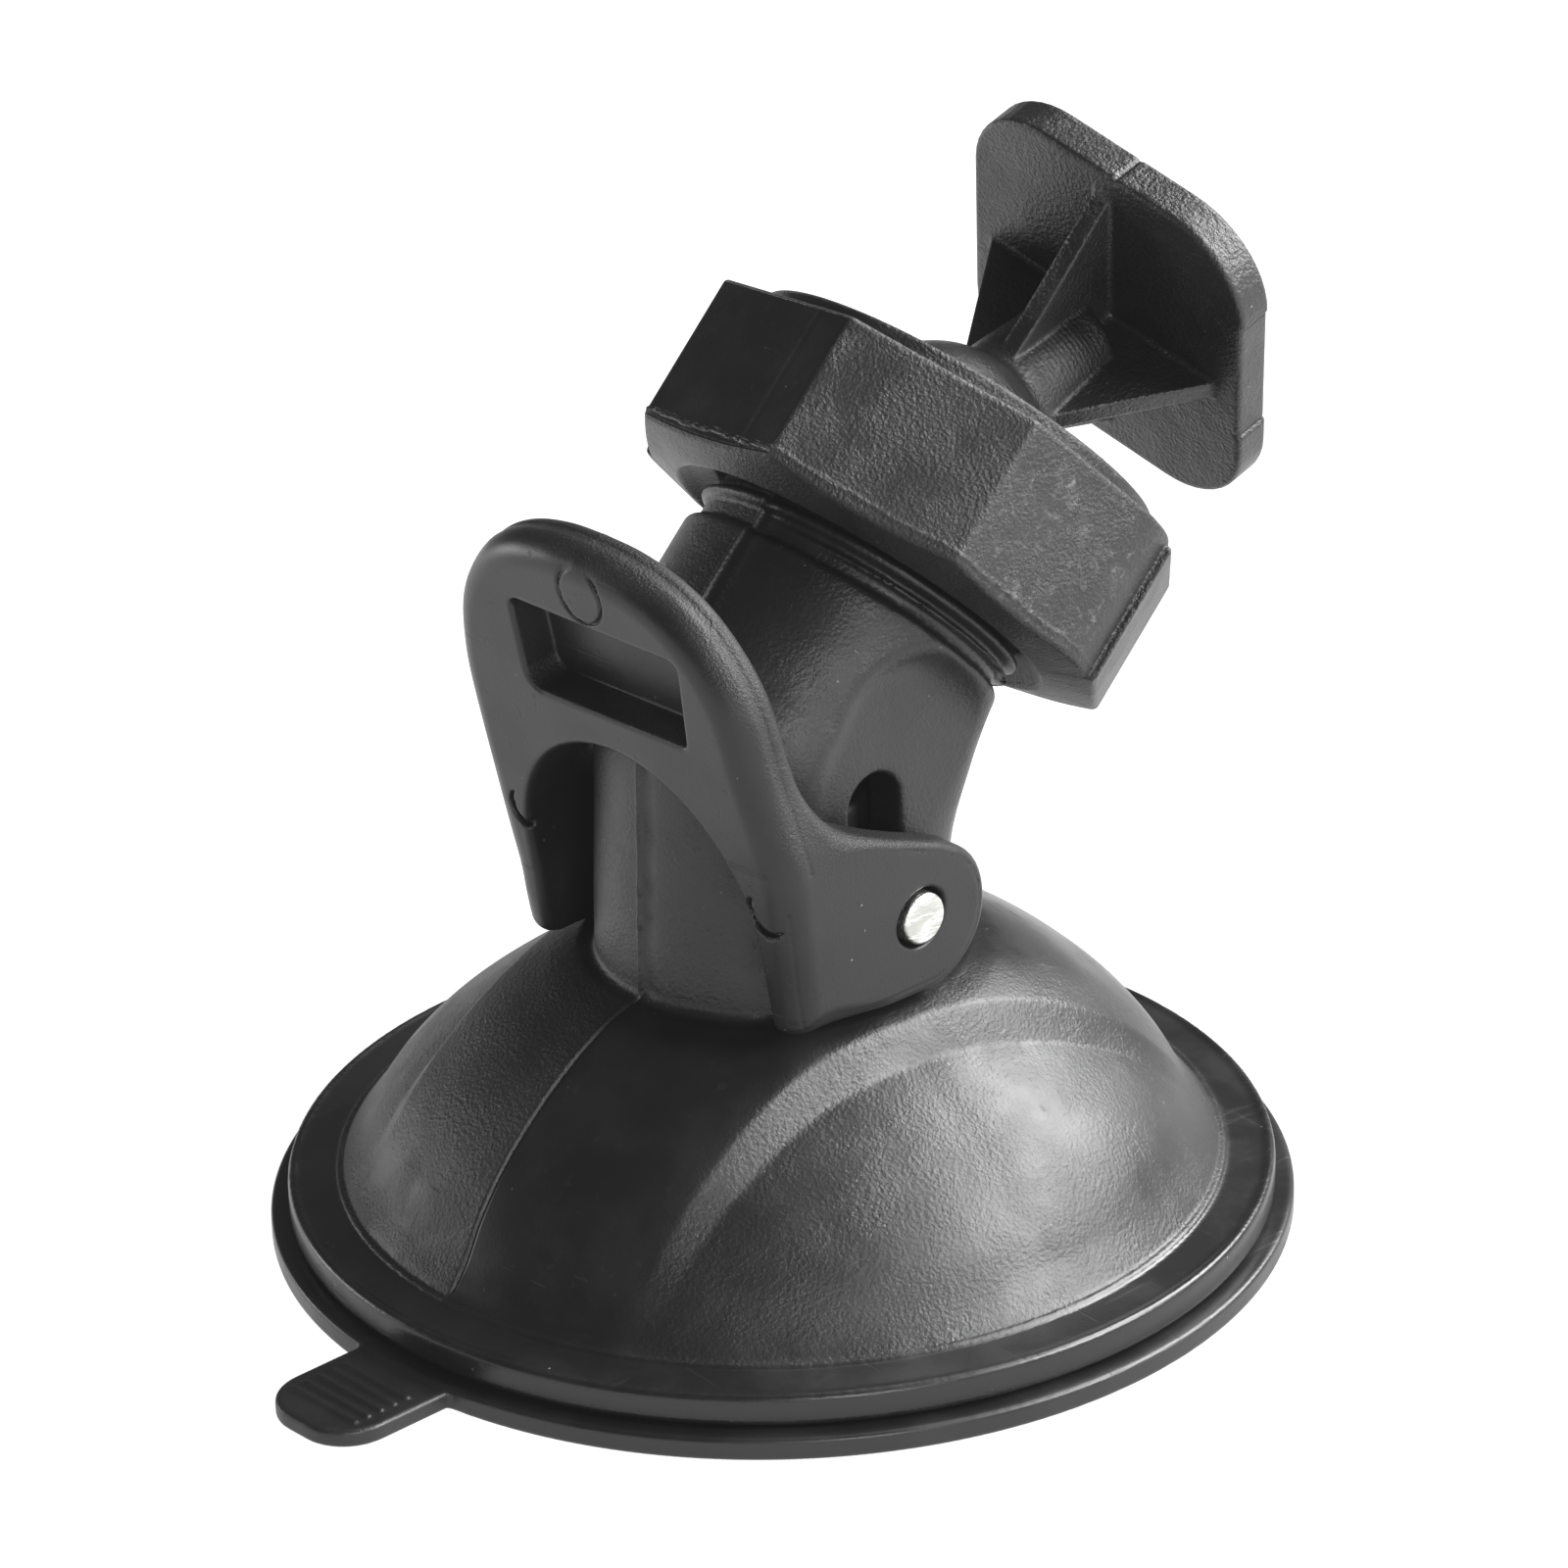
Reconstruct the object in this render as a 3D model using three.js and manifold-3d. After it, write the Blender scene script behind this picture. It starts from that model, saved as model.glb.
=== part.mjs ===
// A suction-cup windscreen mount for a dash camera, with its lever up (released).
// Millimetres, +Z up. The origin is the centre of the pad's flat underside.
// -Y is the front, where the pad's pull tab and the lever's handle are; the ball tower leans to +Y.
import * as THREE from 'three';
import { mergeVertices } from 'three/addons/utils/BufferGeometryUtils.js';
import Module from 'manifold-3d';

const wasm = await Module();
wasm.setup();

const DEG = Math.PI / 180;

// Clearances
const GAP = 0.3;
const BALL_GAP = 0.15;

// Suction pad
const PAD_RADIUS = 27.5;
const PAD_THICK = 1.2;
const PAD_EDGE = 0.3;
const TAB_CENTRE = 0.7;
const TAB_HALF_WIDTH = 3.5;
const TAB_END = 34.5;
const TAB_CORNER = 2.8;
const TAB_RIB_COUNT = 5;
const TAB_RIB_PITCH = 0.85;
const TAB_RIB_HALF_LENGTH = 2.5;
const TAB_RIB_HEIGHT = 0.2;

// Housing: bell, neck and tower in one moulding
const FLANGE_RADIUS = 26.5;
const FLANGE_BOTTOM = PAD_THICK + GAP;
const FLANGE_TOP = 3.15;
const BELL_FOOT_RADIUS = 23.7;
const NECK_RADIUS = 9.1;
const NECK_HALF_WIDTH = 7.8;
const NECK_FLAT_BOTTOM = 16.2;
const BEND_HEIGHT = 28;
const TOWER_TILT = 46 * DEG;
const TOWER_RADIUS = 9.3;
const TOWER_LENGTH = 7.7;
const THREAD_RADIUS = 8.75;
const THREAD_TOP = 16.4;
const WEB_HALF_WIDTH = 4.8;
const WEB_OUTLINE = [
  [4, 19], [8, 19], [8.3, 22.3], [9.2, 24.5], [10.3, 26.2], [9, 28.4], [7, 30],
];
const SCOOP_RADIUS = 5.4;
const SCOOP_CENTRE = 2.1;
const BORE_RADIUS = 5.8;
const BORE_TOP = 33.2;

// The bell's two sunken cheeks, outside a raised band that runs front to back
const CHEEK_TOP_X = 11.6;
const CHEEK_FOOT_X = 13.2;
const CHEEK_DEPTH = 1.3;
const CHEEK_BOTTOM = 3.4;
const CHEEK_POINTS = 13;

// Lever pin and its slot
const PIN_Y = 0.3;
const PIN_HEIGHT = 20.8;
const PIN_RADIUS = 1.5;
const PIN_HALF_LENGTH = 10.9;
const SLOT_HALF_WIDTH = PIN_RADIUS + GAP;
const SLOT_TOP = 27.9;
const SLOT_BOTTOM = 18.7;

// Pull stem
const STEM_RADIUS = BORE_RADIUS - GAP;
const STEM_TOP = 25.2;
const STEM_FOOT_RADIUS = 11;
const STEM_FOOT_THICK = 1.6;

// Return spring
const SPRING_RADIUS = 3.6;
const SPRING_WIRE = 0.35;
const SPRING_TURNS = 4.5;

// Lever
const LEVER_LEAN = 10 * DEG;
const LEVER_HALF_WIDTH = 11.2;
const LEVER_FACE_Y = -8.2;
const LEVER_FACE_Z = 17;
const LEVER_TOP = 25.3;
const LEVER_THICK = 3;
const LEVER_NECK_GAP = 0.45;
const LEG_INNER = 8.75;
const ARCH_CENTRE = 4.6;
const EAR_RADIUS = 4;
const EAR_CENTRE_Y = 0.4;
const EAR_CENTRE_Z = 20.25;
const EAR_BOTTOM = 16.25;
const WINDOW_HALF_WIDTH = 6.2;
const WINDOW_BOTTOM = 15.7;
const WINDOW_TOP = 21;
const WINDOW_DEPTH = 2.4;
const LEVER_REACH = 18;
const HEEL_SWEEP = [
  [-9.4, 16.6], [-8.6, 15.2], [-7, 14.3], [-4.5, 13.9], [-1, 14], [2, 14.6], [4.6, 16.6],
];

// Ball joint, measured along the tower from the bend
const BALL_CENTRE = 17.1;
const BALL_RADIUS = 6;
const SEAT_RADIUS = 7.2;
const SEAT_FLOOR = 7.2;
const SEAT_TOP = -0.8;

// Collar nut, measured along the tower from the bend
const NUT_BOTTOM = 10.15;
const NUT_TOP = 18.8;
const NUT_LIP_TOP = 19.7;
const NUT_CORNER_RADIUS = 14.5;
const NUT_LIP_RADIUS = 11.3;
const NUT_SKIRT_RADIUS = 11.2;
const NUT_SKIRT_BOTTOM = 9.4;
const NUT_FLARE_RADIUS = 10.9;
const NUT_SIDES = 8;
const NUT_TURNED = 13 * DEG;
const NUT_MOUTH = 6.5;

// Camera head, measured from the ball's centre along the stem
const HEAD_TILT = 72.2 * DEG;
const HEAD_ROLL = -18 * DEG;
const STEM_HEAD_RADIUS = 3;
const STEM_HEAD_TIP_RADIUS = 2.6;
const STEM_HEAD_TIP = 11.8;
const STEM_HEAD_CORE = 0.8;
const PLATE_REAR = 13.3;
const PLATE_THICK = 2.2;
const PLATE_WIDTH = 19.1;
const PLATE_HEIGHT = 20.3;
const PLATE_CORNER = 5.2;
const PLATE_CENTRE_X = 0.45;
const PLATE_CENTRE_Y = -0.35;
const RIB_THICK = 1.2;
const RIB_REACH = 8.3;
const RIB_START = 5;
const RIB_START_REACH = 2.65;

const ROUND = 48;
const BELL_ROUND = 60;
const NUT_ROUND = 40;
const INNER_ROUND = 36;

// Turns a closed geometry into a solid whose faces point out
function solid(geometry) {
  const bare = geometry.clone();
  bare.deleteAttribute('normal');
  bare.deleteAttribute('uv');
  const merged = mergeVertices(bare, 1e-4);
  const points = new Float32Array(merged.attributes.position.array);
  const corners = [];
  for (let i = 0; i < merged.index.count; i += 3) {
    const [a, b, c] = [0, 1, 2].map((k) => merged.index.getX(i + k));
    if (a !== b && b !== c && c !== a) corners.push(a, b, c);
  }
  const make = (order) => new wasm.Manifold(
    new wasm.Mesh({ numProp: 3, vertProperties: points, triVerts: new Uint32Array(order) }),
  );
  const first = make(corners);
  if (first.volume() > 0) return first;
  return make(corners.map((_, i) => corners[i - (i % 3) + (2 - (i % 3))]));
}

function piece(name, body, color, roughness, metalness = 0) {
  const { vertProperties, triVerts } = body.getMesh();
  const geometry = new THREE.BufferGeometry();
  geometry.setAttribute('position', new THREE.BufferAttribute(new Float32Array(vertProperties), 3));
  geometry.setIndex(new THREE.BufferAttribute(new Uint32Array(triVerts), 1));
  geometry.computeVertexNormals();
  const mesh = new THREE.Mesh(geometry, new THREE.MeshStandardMaterial({ color, roughness, metalness }));
  mesh.name = name;
  return mesh;
}

// A body of revolution about Z from [radius, height] pairs
function turned(profile, segments = ROUND) {
  const points = profile.map(([r, z]) => new THREE.Vector2(r, z));
  return new THREE.LatheGeometry(points, segments).rotateX(Math.PI / 2);
}

function rod(radius, bottom, top, segments = ROUND) {
  return turned([[0, bottom], [radius, bottom], [radius, top], [0, top]], segments);
}

function polygon(pairs) {
  return new THREE.Shape(pairs.map(([a, b]) => new THREE.Vector2(a, b)));
}

// A (y, z) outline drawn out along X
function acrossX(shape, from, to) {
  const geometry = new THREE.ExtrudeGeometry(shape, {
    depth: to - from, bevelEnabled: false, curveSegments: 12,
  });
  const basis = new THREE.Matrix4().makeBasis(
    new THREE.Vector3(0, 1, 0), new THREE.Vector3(0, 0, 1), new THREE.Vector3(1, 0, 0),
  );
  return geometry.applyMatrix4(basis).translate(from, 0, 0);
}

// An (x, y) outline drawn out along Z
function upZ(shape, bottom, top) {
  return new THREE.ExtrudeGeometry(shape, {
    depth: top - bottom, bevelEnabled: false, curveSegments: 8,
  }).translate(0, 0, bottom);
}

function roundedRectangle(x0, x1, y0, y1, r) {
  const shape = new THREE.Shape();
  shape.moveTo(x0 + r, y0);
  shape.lineTo(x1 - r, y0);
  shape.absarc(x1 - r, y0 + r, r, -Math.PI / 2, 0);
  shape.lineTo(x1, y1 - r);
  shape.absarc(x1 - r, y1 - r, r, 0, Math.PI / 2);
  shape.lineTo(x0 + r, y1);
  shape.absarc(x0 + r, y1 - r, r, Math.PI / 2, Math.PI);
  shape.lineTo(x0, y0 + r);
  shape.absarc(x0 + r, y0 + r, r, Math.PI, Math.PI * 1.5);
  return shape;
}

const towerFrame = new THREE.Matrix4()
  .makeRotationX(-TOWER_TILT)
  .setPosition(0, 0, BEND_HEIGHT);

function onTower(geometry) {
  return solid(geometry.applyMatrix4(towerFrame));
}

// Points on a circle between two angles, as [radius, height] pairs about a centre on the axis
function arc(radius, from, to, steps, centre = 0) {
  return Array.from({ length: steps + 1 }, (_, i) => {
    const angle = from + ((to - from) * i) / steps;
    return [radius * Math.cos(angle), centre + radius * Math.sin(angle)];
  });
}

function suctionPad() {
  const disc = solid(turned([
    [0, 0], [PAD_RADIUS - PAD_EDGE, 0], [PAD_RADIUS, PAD_EDGE],
    [PAD_RADIUS, PAD_THICK - PAD_EDGE], [PAD_RADIUS - PAD_EDGE, PAD_THICK], [0, PAD_THICK],
  ], BELL_ROUND));
  const tab = roundedRectangle(
    TAB_CENTRE - TAB_HALF_WIDTH, TAB_CENTRE + TAB_HALF_WIDTH, -TAB_END, -PAD_RADIUS + 4, TAB_CORNER,
  );
  let body = disc.add(solid(upZ(tab, 0, PAD_THICK - 0.1)));
  for (let i = 0; i < TAB_RIB_COUNT; i++) {
    const y = -TAB_END + 1.9 + i * TAB_RIB_PITCH;
    const [left, right] = [TAB_CENTRE - TAB_RIB_HALF_LENGTH, TAB_CENTRE + TAB_RIB_HALF_LENGTH];
    const rib = polygon([[left, y - 0.2], [right, y - 0.2], [right, y + 0.2], [left, y + 0.2]]);
    body = body.add(solid(upZ(rib, PAD_THICK - 0.3, PAD_THICK - 0.1 + TAB_RIB_HEIGHT)));
  }
  return body;
}

const BELL_OUTSIDE = [
  [FLANGE_RADIUS - 0.3, FLANGE_BOTTOM], [FLANGE_RADIUS, FLANGE_BOTTOM + 0.3],
  [FLANGE_RADIUS, FLANGE_TOP - 0.3], [FLANGE_RADIUS - 0.3, FLANGE_TOP],
  [BELL_FOOT_RADIUS, FLANGE_TOP + 0.25], [23.3, 3.7], [22.3, 5.1], [21.2, 7.1],
  [19.8, 9], [18.2, 10.65], [16.2, 12.3], [14.2, 13.65], [12.1, 14.8], [10.4, 15.55],
  [9.6, 16.1], [9.4, 18.9], [NECK_RADIUS, BEND_HEIGHT],
];
const BELL_INSIDE = [
  [0, 13.6], [12, 13], [15, 10.9], [18, 7.9], [20.4, 4.4], [22.4, FLANGE_BOTTOM],
];

// A profile sunk by the cheeks' depth near the top and by nothing at the foot
function sunk([radius, height]) {
  const depth = CHEEK_DEPTH * (1 - THREE.MathUtils.smoothstep(radius, 17, BELL_FOOT_RADIUS - 0.4));
  return [radius - 0.6 * depth, height - 0.75 * depth];
}

function cheekCut() {
  const beside = polygon([
    [CHEEK_TOP_X, 17], [FLANGE_RADIUS + 2, 17], [FLANGE_RADIUS + 2, CHEEK_BOTTOM],
    [CHEEK_FOOT_X, CHEEK_BOTTOM],
  ]);
  const right = solid(upZ(beside, -FLANGE_RADIUS, FLANGE_RADIUS).rotateX(Math.PI / 2));
  const core = solid(turned([[0, 1], ...BELL_OUTSIDE.slice(0, CHEEK_POINTS).map(sunk), [0, 15]], BELL_ROUND));
  return right.add(right.mirror([1, 0, 0])).subtract(core);
}

function bell() {
  const cap = arc(NECK_RADIUS, 0, Math.PI / 2, 6, BEND_HEIGHT).slice(1);
  cap[cap.length - 1][0] = 0;
  const profile = [...BELL_OUTSIDE, ...cap, ...BELL_INSIDE, BELL_OUTSIDE[0]];
  return solid(turned(profile, BELL_ROUND)).subtract(cheekCut());
}

function pinSlot() {
  const r = SLOT_HALF_WIDTH;
  return solid(acrossX(roundedRectangle(PIN_Y - r, PIN_Y + r, SLOT_BOTTOM, SLOT_TOP, r - 0.01), -12, 12));
}

// The flats on both sides of the neck, which end in a round top on the tower
function neckFlats() {
  const centreY = SCOOP_CENTRE * Math.sin(TOWER_TILT);
  const centreZ = BEND_HEIGHT + SCOOP_CENTRE * Math.cos(TOWER_TILT);
  const outline = new THREE.Shape();
  outline.moveTo(-12, NECK_FLAT_BOTTOM);
  outline.lineTo(12, NECK_FLAT_BOTTOM);
  outline.lineTo(12, 24);
  outline.absarc(centreY, centreZ, SCOOP_RADIUS, -TOWER_TILT, Math.PI - TOWER_TILT);
  outline.lineTo(-12, 24);
  const right = solid(acrossX(outline, NECK_HALF_WIDTH, 14));
  const left = solid(acrossX(outline, -14, -NECK_HALF_WIDTH));
  return right.add(left);
}

// Room for the heels of the lever's two legs as they swing under the pin
function heelReliefs() {
  const outline = polygon(HEEL_SWEEP);
  const right = solid(acrossX(outline, NECK_HALF_WIDTH, LEVER_HALF_WIDTH + GAP));
  const left = solid(acrossX(outline, -LEVER_HALF_WIDTH - GAP, -NECK_HALF_WIDTH));
  return right.add(left);
}

// The web that fills the bend behind the neck
function backWeb() {
  return solid(acrossX(polygon(WEB_OUTLINE), -WEB_HALF_WIDTH, WEB_HALF_WIDTH));
}

function baseHousing() {
  const tower = onTower(turned([
    [0, 0], [TOWER_RADIUS, 0], [TOWER_RADIUS, TOWER_LENGTH - 0.3],
    [TOWER_RADIUS - 0.3, TOWER_LENGTH], [THREAD_RADIUS, TOWER_LENGTH],
    [THREAD_RADIUS, THREAD_TOP - 0.4], [THREAD_RADIUS - 0.4, THREAD_TOP], [0, THREAD_TOP],
  ]));
  const socket = onTower(rod(SEAT_RADIUS + GAP, BALL_CENTRE - SEAT_FLOOR - GAP, THREAD_TOP + 3));
  const bore = solid(rod(BORE_RADIUS, 8, BORE_TOP, INNER_ROUND));
  return bell().add(tower).add(backWeb()).subtract(neckFlats()).subtract(heelReliefs())
    .subtract(bore).subtract(socket).subtract(pinSlot());
}

function crossHole(radius) {
  return solid(rod(radius, -14, 14, 32).rotateY(Math.PI / 2).translate(0, PIN_Y, PIN_HEIGHT));
}

function pullStem() {
  const bottom = PAD_THICK + GAP;
  const foot = bottom + STEM_FOOT_THICK;
  return solid(turned([
    [0, bottom], [STEM_FOOT_RADIUS, bottom], [STEM_FOOT_RADIUS, foot - 0.4],
    [STEM_FOOT_RADIUS - 0.4, foot], [STEM_RADIUS + 1.4, foot + 0.8], [STEM_RADIUS, foot + 2.4],
    [STEM_RADIUS, STEM_TOP - 0.5], [STEM_RADIUS - 0.5, STEM_TOP], [0, STEM_TOP],
  ], INNER_ROUND)).subtract(crossHole(PIN_RADIUS + GAP));
}

function leverPin() {
  const bevel = 0.2;
  return solid(turned([
    [0, -PIN_HALF_LENGTH], [PIN_RADIUS - bevel, -PIN_HALF_LENGTH],
    [PIN_RADIUS, -PIN_HALF_LENGTH + bevel], [PIN_RADIUS, PIN_HALF_LENGTH - bevel],
    [PIN_RADIUS - bevel, PIN_HALF_LENGTH], [0, PIN_HALF_LENGTH],
  ], 32).rotateY(Math.PI / 2).translate(0, PIN_Y, PIN_HEIGHT));
}

class Helix extends THREE.Curve {
  getPoint(t, target = new THREE.Vector3()) {
    const angle = t * SPRING_TURNS * Math.PI * 2;
    const low = STEM_TOP + GAP + SPRING_WIRE;
    const high = BORE_TOP - GAP - SPRING_WIRE;
    return target.set(
      SPRING_RADIUS * Math.cos(angle), SPRING_RADIUS * Math.sin(angle), low + (high - low) * t,
    );
  }
}

function returnSpring() {
  const section = polygon(arc(SPRING_WIRE, 0, Math.PI * 1.667, 5));
  return solid(new THREE.ExtrudeGeometry(section, {
    steps: Math.round(SPRING_TURNS * 16), extrudePath: new Helix(), bevelEnabled: false,
  }));
}

// Places a drawing of the lever's front face: x across, y up the handle, z out of the face
const leverFace = new THREE.Matrix4()
  .makeBasis(
    new THREE.Vector3(1, 0, 0),
    new THREE.Vector3(0, -Math.sin(LEVER_LEAN), Math.cos(LEVER_LEAN)),
    new THREE.Vector3(0, -Math.cos(LEVER_LEAN), -Math.sin(LEVER_LEAN)),
  )
  .setPosition(0, LEVER_FACE_Y, LEVER_FACE_Z);

function throughLever(shape, from, to) {
  return solid(upZ(shape, from, to).applyMatrix4(leverFace));
}

function leverOutline() {
  const outline = new THREE.Shape();
  outline.moveTo(-LEVER_HALF_WIDTH, -3);
  outline.lineTo(LEVER_HALF_WIDTH, -3);
  outline.lineTo(LEVER_HALF_WIDTH, 14);
  outline.bezierCurveTo(LEVER_HALF_WIDTH, 20.5, 7.4, LEVER_TOP, 0, LEVER_TOP);
  outline.bezierCurveTo(-7.4, LEVER_TOP, -LEVER_HALF_WIDTH, 20.5, -LEVER_HALF_WIDTH, 14);
  return outline;
}

// The lever seen from its side: the leaning handle and the ear that the pin goes through
function leverSide() {
  const rise = Math.tan(LEVER_LEAN);
  const face = (z) => LEVER_FACE_Y - (z - LEVER_FACE_Z) * rise;
  const back = (z) => face(z) + LEVER_THICK / Math.cos(LEVER_LEAN);
  const earEnd = 63 * DEG;
  const outline = new THREE.Shape();
  outline.moveTo(face(44), 44);
  outline.lineTo(face(17.4), 17.4);
  outline.quadraticCurveTo(face(EAR_BOTTOM), EAR_BOTTOM, -7.1, EAR_BOTTOM);
  outline.lineTo(EAR_CENTRE_Y, EAR_BOTTOM);
  outline.absarc(EAR_CENTRE_Y, EAR_CENTRE_Z, EAR_RADIUS, -Math.PI / 2, earEnd);
  outline.lineTo(-5.2, 27.3);
  outline.quadraticCurveTo(-7.2, 28.3, back(32), 32);
  outline.lineTo(back(44), 44);
  return outline;
}

function archOpening() {
  const opening = new THREE.Shape();
  opening.moveTo(-LEG_INNER, -4);
  opening.lineTo(LEG_INNER, -4);
  opening.lineTo(LEG_INNER, ARCH_CENTRE);
  opening.absarc(0, ARCH_CENTRE, LEG_INNER, 0, Math.PI);
  return opening;
}

// The hollow in the back of the handle that the neck and the tower lie in
function neckClearance() {
  const upright = rod(NECK_RADIUS + LEVER_NECK_GAP, 20, BEND_HEIGHT, NUT_ROUND);
  const elbow = new THREE.SphereGeometry(NECK_RADIUS + LEVER_NECK_GAP, NUT_ROUND, NUT_ROUND / 2)
    .translate(0, 0, BEND_HEIGHT);
  const leaning = rod(TOWER_RADIUS + LEVER_NECK_GAP, 0, TOWER_LENGTH, NUT_ROUND);
  return solid(upright).add(solid(elbow)).add(onTower(leaning));
}

function lever() {
  const handleWindow = roundedRectangle(
    -WINDOW_HALF_WIDTH, WINDOW_HALF_WIDTH, WINDOW_BOTTOM, WINDOW_TOP, 0.7,
  );
  return solid(acrossX(leverSide(), -LEVER_HALF_WIDTH, LEVER_HALF_WIDTH))
    .intersect(throughLever(leverOutline(), -LEVER_REACH, 1))
    .subtract(throughLever(archOpening(), -LEVER_REACH, 2))
    .subtract(neckClearance())
    .subtract(throughLever(handleWindow, -WINDOW_DEPTH, 2))
    .subtract(crossHole(PIN_RADIUS + GAP));
}

// A cup under the ball that turns with it in the tower's socket
function ballSeat() {
  const inner = BALL_RADIUS + BALL_GAP;
  const rimAngle = Math.asin(SEAT_TOP / inner);
  const bowl = arc(inner, rimAngle, -Math.PI / 2, 7);
  bowl[bowl.length - 1][0] = 0;
  return onTower(turned([
    [0, -SEAT_FLOOR], [SEAT_RADIUS, -SEAT_FLOOR], [SEAT_RADIUS, SEAT_TOP], ...bowl,
  ], INNER_ROUND).translate(0, 0, BALL_CENTRE));
}

const CONE_FOOT = [9.05, -0.45];
const CONE_TOP = [NUT_MOUTH, NUT_LIP_TOP - BALL_CENTRE];

function coneRadius(height) {
  const along = (height - CONE_FOOT[1]) / (CONE_TOP[1] - CONE_FOOT[1]);
  return CONE_FOOT[0] + (CONE_TOP[0] - CONE_FOOT[0]) * along;
}

// A wedge-shaped ring that the nut presses onto the upper half of the ball
function gripRing() {
  const inner = BALL_RADIUS + BALL_GAP;
  const low = -0.3;
  const high = 2.15;
  const bowl = arc(inner, Math.asin(high / inner), Math.asin(low / inner), 4);
  const foot = [coneRadius(low) - GAP, low];
  const profile = [foot, [coneRadius(high) - GAP, high], ...bowl, foot];
  return onTower(turned(profile, INNER_ROUND).translate(0, 0, BALL_CENTRE));
}

function collarNut() {
  const sides = Array.from({ length: NUT_SIDES }, (_, i) => {
    const angle = NUT_TURNED + (i * 2 * Math.PI) / NUT_SIDES;
    return [NUT_CORNER_RADIUS * Math.cos(angle), NUT_CORNER_RADIUS * Math.sin(angle)];
  });
  const block = onTower(upZ(polygon(sides), NUT_SKIRT_BOTTOM, NUT_TOP));
  const envelope = onTower(turned([
    [0, NUT_SKIRT_BOTTOM], [NUT_SKIRT_RADIUS, NUT_SKIRT_BOTTOM],
    [NUT_CORNER_RADIUS, NUT_BOTTOM], [NUT_CORNER_RADIUS, NUT_TOP - 0.4],
    [NUT_CORNER_RADIUS - 0.4, NUT_TOP], [0, NUT_TOP],
  ], NUT_ROUND));
  const lip = onTower(rod(NUT_LIP_RADIUS, NUT_TOP - 1, NUT_LIP_TOP, NUT_ROUND));
  const hollow = onTower(turned([
    [0, NUT_SKIRT_BOTTOM - 1], [NUT_FLARE_RADIUS, NUT_SKIRT_BOTTOM - 1],
    [NUT_FLARE_RADIUS, NUT_SKIRT_BOTTOM + 0.2], [CONE_FOOT[0], NUT_BOTTOM + 1.2],
    [CONE_FOOT[0], BALL_CENTRE + CONE_FOOT[1]], [CONE_TOP[0], NUT_LIP_TOP],
    [CONE_TOP[0], NUT_LIP_TOP + 1], [0, NUT_LIP_TOP + 1],
  ], NUT_ROUND));
  return block.intersect(envelope).add(lip).subtract(hollow);
}

const headFrame = new THREE.Matrix4()
  .makeRotationX(-HEAD_TILT)
  .multiply(new THREE.Matrix4().makeRotationZ(-HEAD_ROLL))
  .setPosition(
    0,
    BALL_CENTRE * Math.sin(TOWER_TILT),
    BEND_HEIGHT + BALL_CENTRE * Math.cos(TOWER_TILT),
  );

function plateOutline() {
  const [w, h] = [PLATE_WIDTH / 2, PLATE_HEIGHT / 2];
  return roundedRectangle(
    PLATE_CENTRE_X - w, PLATE_CENTRE_X + w, PLATE_CENTRE_Y - h, PLATE_CENTRE_Y + h, PLATE_CORNER,
  );
}

function cameraHead() {
  const ball = arc(BALL_RADIUS, -Math.PI / 2, Math.acos(STEM_HEAD_RADIUS / BALL_RADIUS), 12);
  ball[0][0] = 0;
  const knob = solid(turned(
    [
      ...ball, [STEM_HEAD_TIP_RADIUS, STEM_HEAD_TIP - 0.5], [STEM_HEAD_TIP_RADIUS - 0.5, STEM_HEAD_TIP],
      [STEM_HEAD_CORE, STEM_HEAD_TIP + 0.3], [STEM_HEAD_CORE, PLATE_REAR + 1], [0, PLATE_REAR + 1],
    ], INNER_ROUND,
  ));
  const rib = polygon([
    [RIB_START, -1], [RIB_START, RIB_START_REACH],
    [PLATE_REAR + 0.5, RIB_REACH], [PLATE_REAR + 0.5, -1],
  ]);
  let body = knob.add(solid(upZ(plateOutline(), PLATE_REAR, PLATE_REAR + PLATE_THICK)));
  for (let i = 0; i < 4; i++) {
    const web = upZ(rib, -RIB_THICK / 2, RIB_THICK / 2)
      .rotateY(-Math.PI / 2)
      .rotateZ((i * Math.PI) / 2);
    body = body.add(solid(web));
  }
  return body.transform(headFrame.elements);
}

const BLACK = 0x1b1b1c;
const STEEL = 0xc9c9c6;

const group = new THREE.Group();
group.add(
  piece('suction_pad', suctionPad(), 0x161617, 0.45),
  piece('base_housing', baseHousing(), BLACK, 0.6),
  piece('pull_stem', pullStem(), BLACK, 0.6),
  piece('lever_pin', leverPin(), STEEL, 0.35, 1),
  piece('return_spring', returnSpring(), STEEL, 0.4, 1),
  piece('lever', lever(), BLACK, 0.45),
  piece('ball_seat', ballSeat(), BLACK, 0.5),
  piece('grip_ring', gripRing(), BLACK, 0.5),
  piece('collar_nut', collarNut(), BLACK, 0.65),
  piece('camera_head', cameraHead(), BLACK, 0.55),
);

export default group;
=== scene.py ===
"""Looks for a suction-cup windscreen mount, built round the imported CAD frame.

Each piece is a signed-distance field in millimetres, negative inside, that is meshed with quads
and shown in place of the CAD part of the same name. x runs across the mount, -y to its front and
z up from the glass that the pad sits on.
"""
import math
import bpy
import numpy as np
from mathutils import Matrix, Vector


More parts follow.
